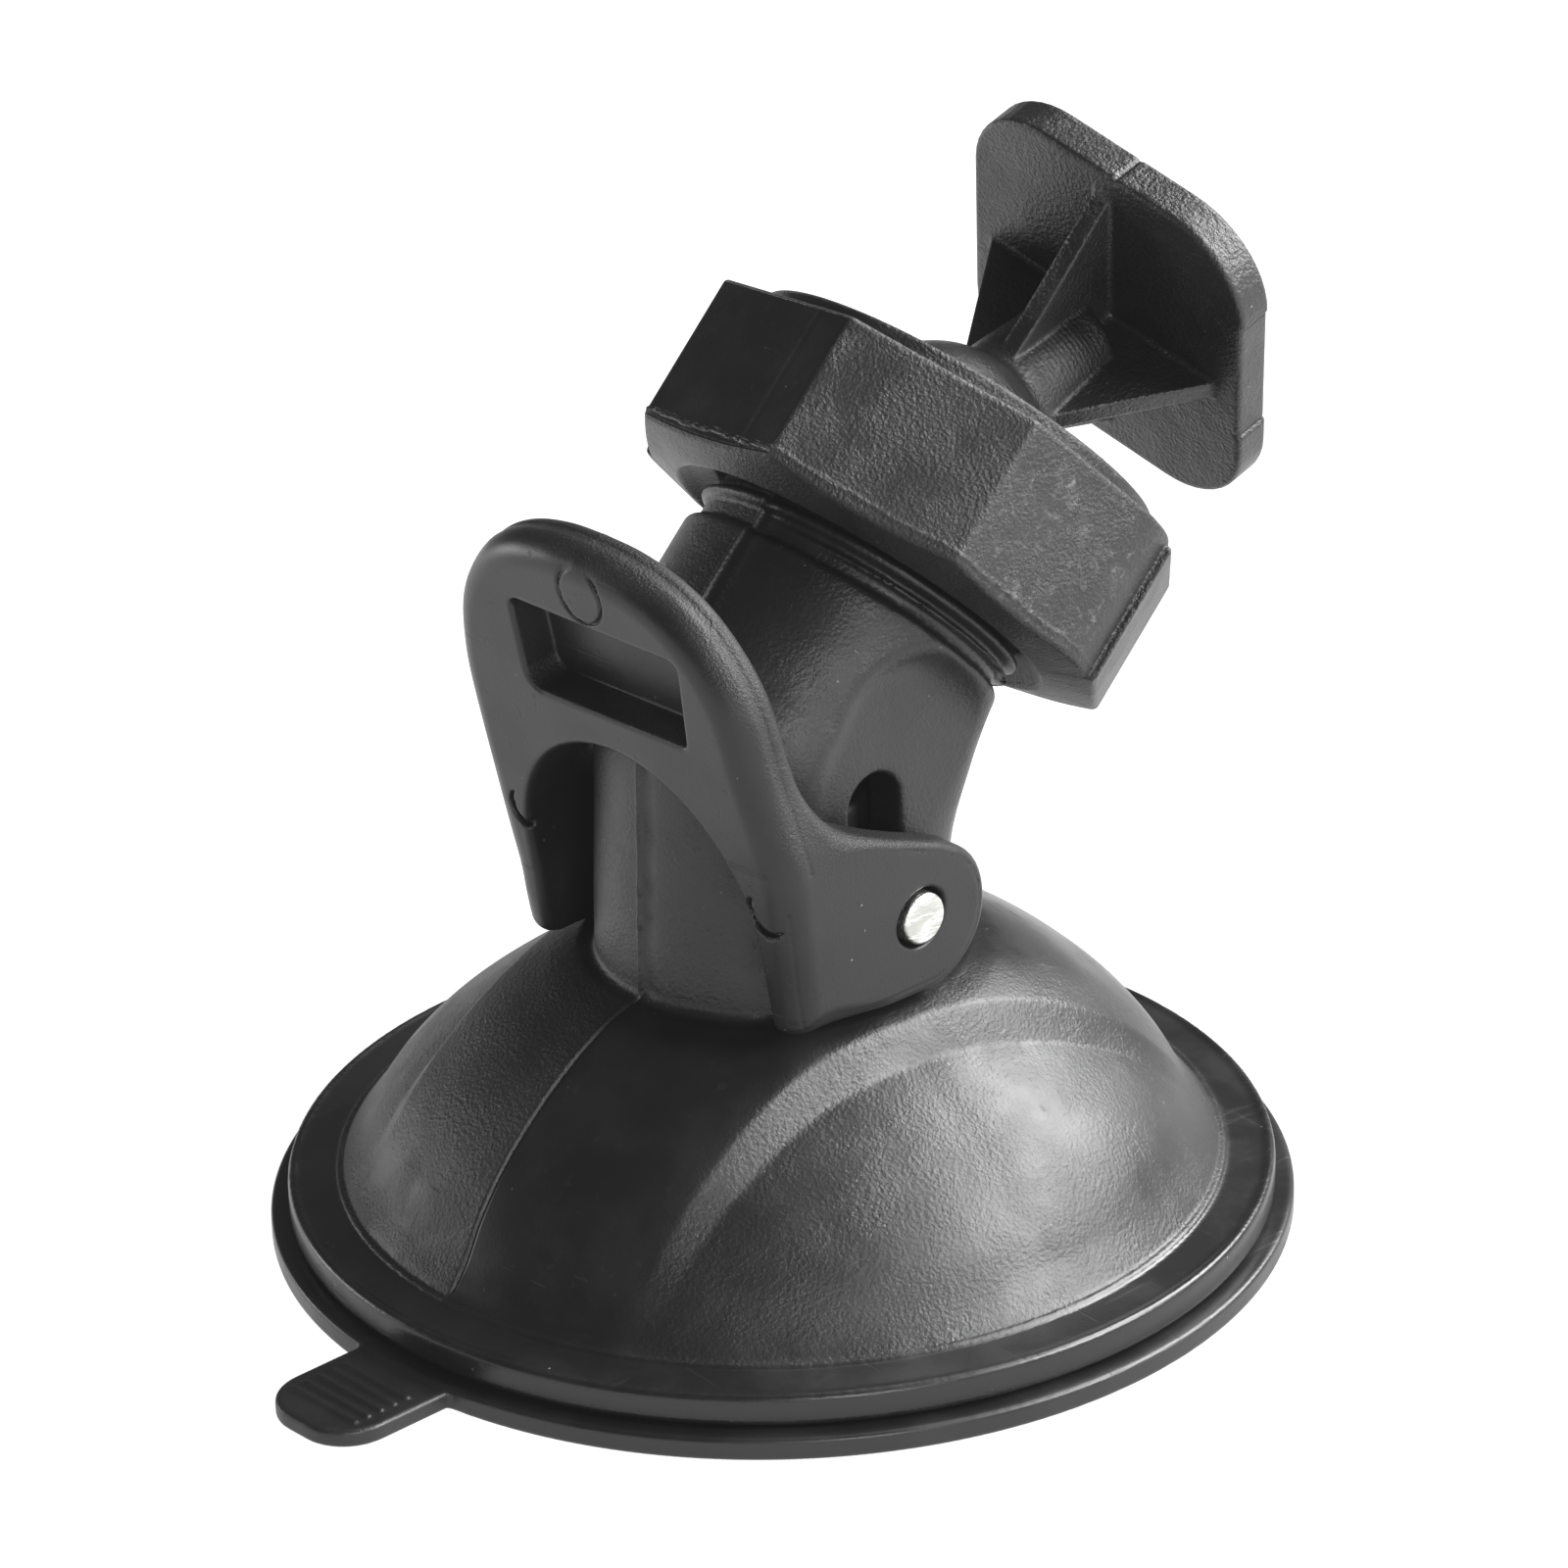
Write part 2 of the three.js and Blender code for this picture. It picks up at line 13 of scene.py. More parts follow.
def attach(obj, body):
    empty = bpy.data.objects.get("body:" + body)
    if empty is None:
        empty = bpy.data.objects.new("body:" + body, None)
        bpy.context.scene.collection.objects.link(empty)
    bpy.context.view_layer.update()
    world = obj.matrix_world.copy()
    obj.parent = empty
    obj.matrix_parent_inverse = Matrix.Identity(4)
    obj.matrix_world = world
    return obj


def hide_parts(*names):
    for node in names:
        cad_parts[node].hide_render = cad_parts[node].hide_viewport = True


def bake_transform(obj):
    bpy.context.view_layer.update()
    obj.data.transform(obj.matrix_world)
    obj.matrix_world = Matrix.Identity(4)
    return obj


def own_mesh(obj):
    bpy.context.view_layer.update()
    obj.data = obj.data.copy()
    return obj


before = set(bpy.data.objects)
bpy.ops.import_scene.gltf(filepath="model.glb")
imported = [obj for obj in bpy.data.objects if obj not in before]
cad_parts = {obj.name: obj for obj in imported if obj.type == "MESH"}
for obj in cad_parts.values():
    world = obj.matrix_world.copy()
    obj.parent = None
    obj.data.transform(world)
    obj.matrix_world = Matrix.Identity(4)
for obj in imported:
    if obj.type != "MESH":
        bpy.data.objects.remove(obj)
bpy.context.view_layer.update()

MM = 0.001
TURN = 2 * math.pi
GRID_SCALE = 1.0

# Sizes that several pieces share, in millimetres
BEND = 28.0                   # height at which the tower leans back from the neck
TILT = math.radians(46)
SIN_T, COS_T = math.sin(TILT), math.cos(TILT)
BALL_ALONG = 17.1             # the ball's centre, along the tower from the bend
BALL_RADIUS = 6.0
SEAT_RADIUS = BALL_RADIUS + 0.15
PIN_Y, PIN_Z, PIN_RADIUS = 0.3, 20.8, 1.4


# ---------------------------------------------------------------- fields
def either(a, b, radius=0.0):
    """Union of two fields, with a fillet of this radius in the corner between them."""
    plain = np.minimum(a, b)
    if np.isscalar(radius) and radius <= 0:
        return plain
    u = np.maximum(radius - a, 0)
    v = np.maximum(radius - b, 0)
    return np.maximum(radius, plain) - np.hypot(u, v)


def both(a, b, radius=0.0):
    """Intersection of two fields, its edge rounded to this radius."""
    plain = np.maximum(a, b)
    if np.isscalar(radius) and radius <= 0:
        return plain
    u = np.maximum(radius + a, 0)
    v = np.maximum(radius + b, 0)
    return np.minimum(-radius, plain) + np.hypot(u, v)


def without(a, b, radius=0.0):
    """The first field with the second cut out of it."""
    return both(a, -b, radius)


def slab(value, centre, half):
    """Everything within this distance of a plane."""
    return np.abs(value - centre) - half


def ramp(value, low, high):
    """A smooth step from 0 at low to 1 at high."""
    t = np.clip((value - low) / (high - low), 0, 1)
    return t * t * (3 - 2 * t)


def ridge(value, width):
    """A smooth bump, 1 high, about zero."""
    return np.exp(-(value / width) ** 2)


def distance3(x, y, z):
    return np.sqrt(x * x + y * y + z * z)


def spline(points, count=8):
    """Points on a smooth curve through the given ones."""
    p = np.array(points, float)
    ends = np.vstack([2 * p[0] - p[1], p, 2 * p[-1] - p[-2]])
    out = []
    for i in range(1, len(ends) - 2):
        a, b, c, d = ends[i - 1:i + 3]
        for t in np.arange(count) / count:
            out.append(0.5 * (2 * b + (c - a) * t + (2 * a - 5 * b + 4 * c - d) * t * t
                              + (3 * b - a - 3 * c + d) * t ** 3))
    out.append(p[-1])
    return [tuple(q) for q in out]


def arc(cx, cy, radius, start, end, count=10):
    """Points on an arc, angles in degrees."""
    return [(cx + radius * math.cos(a), cy + radius * math.sin(a))
            for a in np.radians(np.linspace(start, end, count))]


def rounded(corners, count=8):
    """Points of a polygon given anticlockwise as (u, v, radius), with its corners rounded."""
    out = []
    before = corners[-1:] + corners[:-1]
    after = corners[1:] + corners[:1]
    for (pu, pv, _), (u, v, radius), (nu, nv, _) in zip(before, corners, after):
        corner = Vector((u, v))
        back = Vector((pu - u, pv - v)).normalized()
        ahead = Vector((nu - u, nv - v)).normalized()
        half = back.angle(ahead) / 2
        centre = corner + (back + ahead).normalized() * radius / math.sin(half)
        first = corner + back * radius / math.tan(half) - centre
        last = corner + ahead * radius / math.tan(half) - centre
        start = math.degrees(math.atan2(first.y, first.x))
        sweep = (math.degrees(math.atan2(last.y, last.x)) - start + 180) % 360 - 180
        out += arc(centre.x, centre.y, radius, start, start + sweep, count)
    return out


def rounded_plate(half_u, half_v, corner, count=12):
    """Points of a rectangle about the origin, with its corners rounded."""
    u, v = half_u - corner, half_v - corner
    return (arc(u, v, corner, 0, 90, count) + arc(-u, v, corner, 90, 180, count)
            + arc(-u, -v, corner, 180, 270, count) + arc(u, -v, corner, 270, 360, count))


class Outline:
    """Signed distance to a closed polygon, looked up on a fine grid."""

    def __init__(self, points, margin=2.5, cell=0.06):
        p = np.array(points, float)
        self.low = p.min(0) - margin
        self.cell = cell
        n = np.ceil((p.max(0) + margin - self.low) / cell).astype(int) + 2
        u = self.low[0] + cell * np.arange(n[0])[:, None] + np.zeros((1, n[1]))
        v = self.low[1] + cell * np.arange(n[1])[None, :] + np.zeros((n[0], 1))
        best = np.full(u.shape, np.inf)
        inside = np.zeros(u.shape, bool)
        for (ax, ay), (bx, by) in zip(p, np.roll(p, -1, 0)):
            ex, ey = bx - ax, by - ay
            length2 = ex * ex + ey * ey
            if length2 < 1e-14:
                continue
            wx, wy = u - ax, v - ay
            t = np.clip((wx * ex + wy * ey) / length2, 0, 1)
            best = np.minimum(best, (wx - ex * t) ** 2 + (wy - ey * t) ** 2)
            up, down, left = v >= ay, v < by, ex * wy > ey * wx
            inside ^= (up & down & left) | (~up & ~down & ~left)
        self.table = np.where(inside, -1, 1) * np.sqrt(best)

    def __call__(self, u, v):
        tab = self.table
        fu = (u - self.low[0]) / self.cell
        fv = (v - self.low[1]) / self.cell
        cu = np.clip(fu, 0, tab.shape[0] - 1.001)
        cv = np.clip(fv, 0, tab.shape[1] - 1.001)
        beyond = np.hypot(fu - cu, fv - cv) * self.cell
        i, j = cu.astype(int), cv.astype(int)
        s, t = cu - i, cv - j
        low = tab[i, j] * (1 - s) + tab[i + 1, j] * s
        high = tab[i, j + 1] * (1 - s) + tab[i + 1, j + 1] * s
        return low * (1 - t) + high * t + beyond


# ---------------------------------------------------------------- meshing
CHUNK = 400000                # points worked out at a time
BLOCK = 12                    # grid lines along one side of a block
SURE = 9.0                    # value given to blocks that the surface doesn't reach
PROBE = 0.01                  # step for a field's slope


def lines(low, high, step, fine=None):
    """Grid lines, closer together in a band about a centre: fine = (centre, half, step)."""
    step *= GRID_SCALE
    out = np.arange(low, high + step, step)
    if fine:
        centre, half, small = fine
        out = out[np.abs(out - centre) > half + small / 2]
        out = np.concatenate([out, np.arange(centre - half, centre + half + small / 2, small)])
    return np.sort(out)


def evaluate(field, p):
    return np.concatenate([field(p[i:i + CHUNK]) for i in range(0, len(p), CHUNK)])


def sample(field, axes):
    """Field values on the grid, worked out only near the surface."""
    shape = [len(a) for a in axes]
    values = np.empty(shape, np.float32)
    cuts = [[(s, min(s + BLOCK, n)) for s in range(0, n, BLOCK)] for n in shape]
    boxes = [(a, b, c) for a in cuts[0] for b in cuts[1] for c in cuts[2]]
    ends = np.array([[[axes[k][s[k][0]], axes[k][s[k][1] - 1]] for k in range(3)] for s in boxes])
    near = evaluate(field, ends.mean(2))
    half = np.linalg.norm(ends[:, :, 1] - ends[:, :, 0], axis=1) / 2
    live = np.abs(near) < half * 1.25 + 0.8
    keep = []
    for s, value, on in zip(boxes, near, live):
        (i0, i1), (j0, j1), (k0, k1) = s
        values[i0:i1, j0:j1, k0:k1] = math.copysign(SURE, value)
        if on:
            i, j, k = np.ix_(*[np.arange(*side) for side in s])
            keep.append(((i * shape[1] + j) * shape[2] + k).ravel())
    flat = np.concatenate(keep)
    index = np.unravel_index(flat, shape)
    p = np.stack([axes[k][index[k]] for k in range(3)], 1)
    values.ravel()[flat] = evaluate(field, p)
    return values


def snap(field, p, limit):
    """Moves points onto the field's zero surface, none of them further than the limit."""
    f = evaluate(field, p)
    slope = np.stack([(evaluate(field, p + np.eye(3)[k] * PROBE) - f) / PROBE
                      for k in range(3)], 1)
    step = f[:, None] * slope / np.maximum((slope * slope).sum(1), 0.2)[:, None]
    size = np.linalg.norm(step, axis=1)[:, None]
    return p - step * np.minimum(1, limit / np.maximum(size, 1e-9))


def mesh_field(field, axes, rounds):
    """Quads on the field's zero surface: points of mixed cells, joined across crossed edges."""
    values = sample(field, axes)
    shape = values.shape
    inside = values < 0
    cells, spots, quads = [], [], []
    for k in range(3):
        a, b = (k + 1) % 3, (k + 2) % 3
        first = np.take(inside, range(shape[k] - 1), k)
        second = np.take(inside, range(1, shape[k]), k)
        index = np.stack(np.nonzero(first != second), 1)
        index = index[(index[:, a] > 0) & (index[:, b] > 0)]
        after = index.copy()
        after[:, k] += 1
        f0, f1 = values[tuple(index.T)], values[tuple(after.T)]
        t = f0 / (f0 - f1)
        spot = np.stack([axes[q][index[:, q]] for q in range(3)], 1)
        spot[:, k] += t * (axes[k][after[:, k]] - axes[k][index[:, k]])
        ring = []
        for da, db in ((1, 1), (0, 1), (0, 0), (1, 0)):
            cell = index.copy()
            cell[:, a] -= da
            cell[:, b] -= db
            ring.append((cell[:, 0] * shape[1] + cell[:, 1]) * shape[2] + cell[:, 2])
            cells.append(ring[-1])
            spots.append(spot)
        ring = np.stack(ring, 1)
        quads.append(np.where((f0 < 0)[:, None], ring, ring[:, ::-1]))
    names, where = np.unique(np.concatenate(cells), return_inverse=True)
    spots = np.concatenate(spots)
    count = np.bincount(where)
    p = np.stack([np.bincount(where, spots[:, q]) / count for q in range(3)], 1)
    faces = np.searchsorted(names, np.concatenate(quads))

    limit = max(np.median(np.diff(a)) for a in axes) * 0.7
    p = snap(field, snap(field, p, limit), limit)
    one = faces.ravel()
    two = np.roll(faces, -1, 1).ravel()
    links = np.bincount(np.concatenate([one, two]), minlength=len(p))
    for _ in range(rounds):
        total = [np.bincount(one, p[two, q], len(p)) + np.bincount(two, p[one, q], len(p))
                 for q in range(3)]
        mean = np.stack(total, 1) / links[:, None]
        p = snap(field, 0.5 * p + 0.5 * mean, limit)
    return snap(field, p, limit), faces


def make(name, points, faces, material):
    """A smooth-shaded mesh object from points in millimetres and quads."""
    mesh = bpy.data.meshes.new(name)
    mesh.vertices.add(len(points))
    mesh.vertices.foreach_set("co", (points * MM).astype(np.float32).ravel())
    mesh.loops.add(faces.size)
    mesh.loops.foreach_set("vertex_index", faces.astype(np.int32).ravel())
    mesh.polygons.add(len(faces))
    mesh.polygons.foreach_set("loop_start", np.arange(0, faces.size, 4, dtype=np.int32))
    mesh.polygons.foreach_set("loop_total", np.full(len(faces), 4, np.int32))
    mesh.update(calc_edges=True)
    mesh.validate()
    mesh.polygons.foreach_set("use_smooth", np.ones(len(mesh.polygons), bool))
    mesh.materials.append(material)
    piece = bpy.data.objects.new(name, mesh)
    bpy.context.scene.collection.objects.link(piece)
    return piece


def skin(node, field, axes, material, body=None, matrix=None, rounds=2):
    """The piece shown in place of one CAD part, put on its body if one is given."""
    points, faces = mesh_field(field, axes, rounds)
    if matrix is not None:
        m = np.array(matrix)
        points = points @ m[:3, :3].T + m[:3, 3]
    piece = make(node + "_skin", points, faces, material)
    if body:
        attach(piece, body)
    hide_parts(node)
    return piece


# ---------------------------------------------------------------- materials
class Nodes:
    """A short way to write a node tree. Noise sizes are in millimetres."""

    def __init__(self, name):
        self.material = bpy.data.materials.new(name)
        self.material.use_nodes = True
        self.tree = self.material.node_tree
        self.tree.nodes.clear()
        self.coord = self.add("ShaderNodeTexCoord")
        scale = self.add("ShaderNodeVectorMath", operation="SCALE")
        scale.inputs["Scale"].default_value = 1 / MM
        self.link(self.coord.outputs["Object"], scale.inputs[0])
        self.mm = scale.outputs[0]

    def add(self, kind, **settings):
        node = self.tree.nodes.new(kind)
        for key, value in settings.items():
            setattr(node, key, value)
        return node

    def link(self, source, target):
        """Joins a socket to an input, or sets the input to a plain value."""
        if isinstance(source, bpy.types.NodeSocket):
            self.tree.links.new(source, target)
        else:
            target.default_value = source

    def math(self, operation, *values):
        node = self.add("ShaderNodeMath", operation=operation)
        for value, target in zip(values, node.inputs):
            self.link(value, target)
        return node.outputs[0]

    def times(self, first, *others):
        for other in others:
            first = self.math("MULTIPLY", first, other)
        return first

    def plus(self, first, *others):
        for other in others:
            first = self.math("ADD", first, other)
        return first

    def spread(self, value, low, high, to_low=0, to_high=1):
        """A smooth step, from one value at low to another at high."""
        node = self.add("ShaderNodeMapRange", interpolation_type="SMOOTHSTEP")
        settings = {"From Min": low, "From Max": high, "To Min": to_low, "To Max": to_high}
        for key, number in settings.items():
            node.inputs[key].default_value = number
        self.link(value, node.inputs["Value"])
        return node.outputs["Result"]

    def stretched(self, stretch):
        """The surface point in millimetres, turned and scaled by (rotation, scale) if given."""
        if stretch is None:
            return self.mm
        turn = self.add("ShaderNodeMapping")
        turn.inputs["Rotation"].default_value, turn.inputs["Scale"].default_value = stretch
        self.link(self.mm, turn.inputs["Vector"])
        return turn.outputs[0]

    def noise(self, size, detail=2.0, rough=0.5, distortion=0.0, stretch=None):
        node = self.add("ShaderNodeTexNoise")
        node.inputs["Scale"].default_value = 1 / size
        node.inputs["Detail"].default_value = detail
        node.inputs["Roughness"].default_value = rough
        node.inputs["Distortion"].default_value = distortion
        self.link(self.stretched(stretch), node.inputs["Vector"])
        return node.outputs["Fac"]

    def cells(self, size, feature="SMOOTH_F1"):
        node = self.add("ShaderNodeTexVoronoi", feature=feature)
        node.inputs["Scale"].default_value = 1 / size
        self.link(self.mm, node.inputs["Vector"])
        return node.outputs["Distance"]

    def place(self, axis):
        """One coordinate of the surface point, in millimetres."""
        node = self.add("ShaderNodeSeparateXYZ")
        self.link(self.mm, node.inputs[0])
        return node.outputs[axis]

    def facing(self, direction, low, high, to_low=0, to_high=1):
        """A value that depends on which way the surface faces, 1 being straight along."""
        node = self.add("ShaderNodeVectorMath", operation="DOT_PRODUCT")
        self.link(self.coord.outputs["Normal"], node.inputs[0])
        node.inputs[1].default_value = Vector(direction).normalized()
        return self.spread(node.outputs["Value"], low, high, to_low, to_high)

    def bump(self, height, distance, previous=None):
        """Raised by up to this distance in millimetres, or sunk if it is negative."""
        node = self.add("ShaderNodeBump", invert=distance < 0)
        node.inputs["Distance"].default_value = abs(distance) * MM
        self.link(height, node.inputs["Height"])
        if previous is not None:
            self.link(previous, node.inputs["Normal"])
        return node.outputs[0]

    def shade(self, value, dark, light):
        """A colour between two, mixed by a value from 0 to 1."""
        node = self.add("ShaderNodeMix", data_type="RGBA")
        factor, first, second = node.inputs[0], node.inputs[6], node.inputs[7]
        self.link(dark if isinstance(dark, bpy.types.NodeSocket) else (*dark, 1), first)
        self.link((*light, 1), second)
        self.link(value, factor)
        return node.outputs[2]

    def finish(self, color, roughness, normal=None, metallic=0.0, specular=0.5, glow=0.0):
        shader = self.add("ShaderNodeBsdfPrincipled")
        out = self.add("ShaderNodeOutputMaterial")
        self.link(color, shader.inputs["Base Color"])
        self.link(roughness, shader.inputs["Roughness"])
        if normal is not None:
            self.link(normal, shader.inputs["Normal"])
        self.link(metallic, shader.inputs["Metallic"])
        self.link(specular, shader.inputs["Specular IOR Level"])
        self.link((1, 1, 1, 1), shader.inputs["Emission Color"])
        self.link(glow, shader.inputs["Emission Strength"])
        self.link(shader.outputs[0], out.inputs[0])
        return self.material


BLACK, BLACK_WORN = (0.006, 0.006, 0.0063), (0.014, 0.014, 0.014)
DUST = (0.30, 0.30, 0.29)
SCUFF = (0.19, 0.19, 0.185)
STEEL_DARK, STEEL_LIGHT = (0.50, 0.50, 0.47), (0.80, 0.80, 0.78)

# Rotation and scale that draw noise out into lines
SCRATCHES = ((0.3, 0.6, 0.8), (1, 0.05, 1))
HAIRLINES = ((0.2, -0.5, -0.9), (0.04, 1.2, 1))
RUB_MARKS = ((0.4, 0.2, 0.9), (1, 0.35, 1))
DRAWN_LINES = ((0, 0, 0), (0.08, 1, 1))
SHEAR_LINES = ((0.6, 0, 0), (1, 0.2, 1))


def plastic(name, rough, grain, depth, mask=None, worn=None, waves=0.02, specular=0.5):
    """Black moulded plastic: pebbled grain, slow waves, fine scratches, dust and worn patches.

    grain is the size of the pebbles, depth their height and waves the height of the waves. mask
    and worn take the node helper, and give where the grain is strong and where it is scuffed.
    """
    n = Nodes(name)
    coarse = mask(n) if mask else 0.5
    blotch = n.spread(n.noise(5.0, 4, 0.6), 0.35, 0.68)
    pebbles = n.plus(n.times(n.cells(grain), 0.8), n.times(n.noise(grain * 0.55, 3, 0.6), 0.9))
    strength = n.times(n.spread(n.noise(3.0), 0.35, 0.65, 0.6, 1.15), coarse)
    scratch = n.spread(n.noise(1.0, 3, 0.7, stretch=SCRATCHES), 0.63, 0.70)
    hair = n.spread(n.noise(0.7, 2, 0.7, stretch=HAIRLINES), 0.66, 0.72)
    marks = n.plus(scratch, hair)
    specks = n.spread(n.cells(0.9, "F1"), 0.05, 0.085, 1, 0)
    dust = n.times(specks, n.spread(n.noise(2.4), 0.56, 0.66))

    normal = n.bump(n.noise(3.5), waves)
    normal = n.bump(n.times(pebbles, strength), depth, normal)
    normal = n.bump(marks, -0.006, normal)
    roughness = n.plus(n.spread(blotch, 0, 1, rough - 0.10, rough - 0.02),
                       n.times(marks, 0.08), n.times(coarse, 0.14))
    fade = n.plus(n.times(blotch, 0.5), n.times(scratch, 0.3), n.times(coarse, 0.3))
    color = n.shade(fade, BLACK, BLACK_WORN)
    color = n.shade(n.times(dust, 0.5), color, DUST)
    if worn:
        smear = n.spread(n.noise(1.1, 5, 0.72, 1.2), 0.50, 0.68)
        rub = n.spread(n.noise(0.35, 4, 0.7, 0.6, RUB_MARKS), 0.52, 0.66)
        amount = n.times(worn(n), n.plus(n.times(smear, 0.3), n.times(smear, rub, 0.7)))
        color = n.shade(n.times(amount, 0.6), color, SCUFF)
        roughness = n.plus(roughness, n.times(amount, 0.12))
        normal = n.bump(n.times(amount, n.noise(0.22, 3, 0.7)), 0.05, normal)
    return n.finish(color, roughness, normal, specular=specular)


def steel(name, rough):
    """Drawn steel, with a sheared end."""
    n = Nodes(name)
    turned = n.noise(0.3, 3, 0.6)
    drawn = n.noise(0.4, 3, 0.6, stretch=DRAWN_LINES)
    sheared = n.noise(0.5, 3, 0.7, 0.4, SHEAR_LINES)
    normal = n.bump(n.plus(turned, drawn), 0.004)
    normal = n.bump(n.spread(sheared, 0.45, 0.62), 0.02, normal)
    color = n.shade(n.spread(sheared, 0.35, 0.65), STEEL_DARK, STEEL_LIGHT)
    roughness = n.spread(turned, 0.3, 0.7, rough - 0.05, rough + 0.08)
    return n.finish(color, roughness, normal, metallic=1.0)


def cheeks(n):
    """Strong left of the mould seam, finer on the right cheek, faint on the band between."""
    x = n.place(0)
    z = n.place(2)
    bell = n.plus(n.spread(x, -0.15, 0.1, 0.9, 0), n.spread(x, 8.5, 11.5, 0.1, 0.65))
    bell = n.times(bell, n.spread(z, 3.3, 3.6, 0.15, 1), n.spread(z, 15.2, 16.2, 1, 0))
    neck = n.times(n.spread(z, 15.2, 16.2), n.spread(x, -0.15, 0.1, 0.8, 0.55))
    return n.plus(bell, neck)


def rim_only(n):
    """Strong on the handle's rounded rim, faint on the lever's face and ears."""
    rim = n.facing((0.5, 0.1, 0.85), 0.35, 0.75, 0, 0.9)
    return n.plus(n.times(rim, n.spread(n.place(2), 22, 27, 0.3, 1)), 0.12)


def all_but_rubbed_flat(n):
    """The nut's front-left flat is rubbed smooth; its other flats keep their grain."""
    return n.facing((-0.17, -0.68, 0.71), 0.90, 0.98, 1, 0.12)


def right_flat(n):
    """The nut's right flat, which is scuffed."""
    return n.facing((0.985, -0.12, 0.125), 0.86, 0.97)


def plate_only(n):
    """Grain on the camera plate; the stem and its ribs are glossy."""
    return n.spread(n.place(2), 12.9, 13.25, 0.05, 1)


def tab_only(n):
    """Grain on the pad's tab, almost none on the disc."""
    return n.spread(n.place(1), -28, -26, 0.6, 0.1)


HOUSING = plastic("housing_plastic", 0.38, 0.22, 0.055, cheeks, waves=0.008)
LEVER = plastic("lever_plastic", 0.43, 0.15, 0.05, rim_only, waves=0.005, specular=0.43)
NUT = plastic("nut_plastic", 0.35, 0.20, 0.08, all_but_rubbed_flat, right_flat)
HEAD = plastic("head_plastic", 0.29, 0.22, 0.07, plate_only, waves=0.01, specular=0.62)
INNER = plastic("inner_plastic", 0.5, 0.25, 0.02)
VINYL = plastic("pad_vinyl", 0.42, 0.3, 0.02, tab_only)
PIN = steel("pin_steel", 0.34)
SPRING = steel("spring_steel", 0.35)


# ---------------------------------------------------------------- camera, floor and light
SENSOR = 36.0
LENS = 174.988                # millimetres: a long lens, close to the mount
EYE = (0.268293, -0.241240, 0.197547)
LOOK = (64.412, 1.612, 47.146)        # degrees about x, y and z

FLOOR_HALF = 6.0
FLOOR_DROP = 0.0001           # keeps the floor clear of the pad's flat underside
FLOOR_GLOW = 1.0              # a lit white table, so the object throws no shadow on it
ROOM_GLOW = 0.10
HAZE = 0.008                  # lifts the blacks a little
TARGET = (0, 0, 0.02)
# Name, direction from the target, distance, width and height in metres, power in watts
PANELS = (
    ("key", (0.18, 0.73, 0.66), 0.6, (0.36, 0.36), 8.6),
    ("side", (0.72, 0.45, 0.52), 0.6, (0.30, 0.30), 6.4),
    ("front", (0.86, -0.42, 0.30), 0.7, (0.16, 0.16), 1.6),
    ("left", (-0.88, -0.42, 0.09), 0.8, (0.36, 0.16), 1.3),
    ("top", (0.0, 0.3, 1.0), 0.9, (0.3, 0.3), 0.4),
)


def place_camera(scene):
    data = bpy.data.cameras.new("view")
    data.sensor_width = SENSOR
    data.lens = LENS
    data.clip_start, data.clip_end = 0.01, 20
    camera = bpy.data.objects.new("view", data)
    camera.location = EYE
    camera.rotation_euler = [math.radians(a) for a in LOOK]
    scene.collection.objects.link(camera)
    scene.camera = camera


def lay_floor(scene):
    n = Nodes("floor_paper")
    paper = n.shade(n.noise(40, 3, 0.5), (0.10, 0.10, 0.10), (0.13, 0.13, 0.13))
    corners = [(FLOOR_HALF * u, FLOOR_HALF * v, 0) for u, v in ((-1, -1), (1, -1), (1, 1), (-1, 1))]
    mesh = bpy.data.meshes.new("floor")
    mesh.from_pydata(corners, [], [(0, 1, 2, 3)])
    mesh.materials.append(n.finish(paper, 0.9, glow=FLOOR_GLOW))
    floor = bpy.data.objects.new("floor", mesh)
    floor.location.z = -FLOOR_DROP
    scene.collection.objects.link(floor)


def light_room(scene):
    world = bpy.data.worlds.new("studio")
    world.use_nodes = True
    background = world.node_tree.nodes["Background"]
    background.inputs["Color"].default_value = (1, 1, 1, 1)
    background.inputs["Strength"].default_value = ROOM_GLOW
    scene.world = world
    view = scene.view_settings
    view.view_transform = "Standard"
    view.use_curve_mapping = True
    view.curve_mapping.black_level = (-HAZE, -HAZE, -HAZE)
    view.curve_mapping.update()
    for name, direction, distance, size, power in PANELS:
        light = bpy.data.lights.new(name, "AREA")
        light.shape = "RECTANGLE"
        light.size, light.size_y = size
        light.energy = power
        item = bpy.data.objects.new(name, light)
        way = Vector(direction).normalized()
        item.location = Vector(TARGET) + way * distance
        item.rotation_mode = "QUATERNION"
        item.rotation_quaternion = way.to_track_quat("Z", "Y")
        scene.collection.objects.link(item)


place_camera(bpy.context.scene)
lay_floor(bpy.context.scene)
light_room(bpy.context.scene)


# ---------------------------------------------------------------- housing
FLANGE_RADIUS, FLANGE_BOTTOM, FLANGE_TOP = 26.5, 1.4, 3.2
FOOT_RADIUS = 23.7
CHEEK_DEPTH = 1.35
CHEEK_EDGE, CHEEK_EDGE_WIDTH = 11.0, 1.3
CHAMBER_RADIUS = 22.4
NECK_FOOT_RADIUS, NECK_RADIUS = 9.45, 9.1
NECK_HALF_WIDTH, NECK_FLAT_BOTTOM = 7.8, 16.2
TOWER_RADIUS, TOWER_LENGTH, TOWER_FILLET = 9.35, 7.7, 3.6
THREAD_RADIUS, THREAD_TOP = 8.85, 16.4
CREST_ALONG, CREST_PITCH, CREST_RISE = 9.15, 0.85, 0.25
CRESTS = ((0.70, 0.30), (0.62, 0.13))         # height and half width
SCOOP_ALONG, SCOOP_RADIUS = 2.1, 5.5
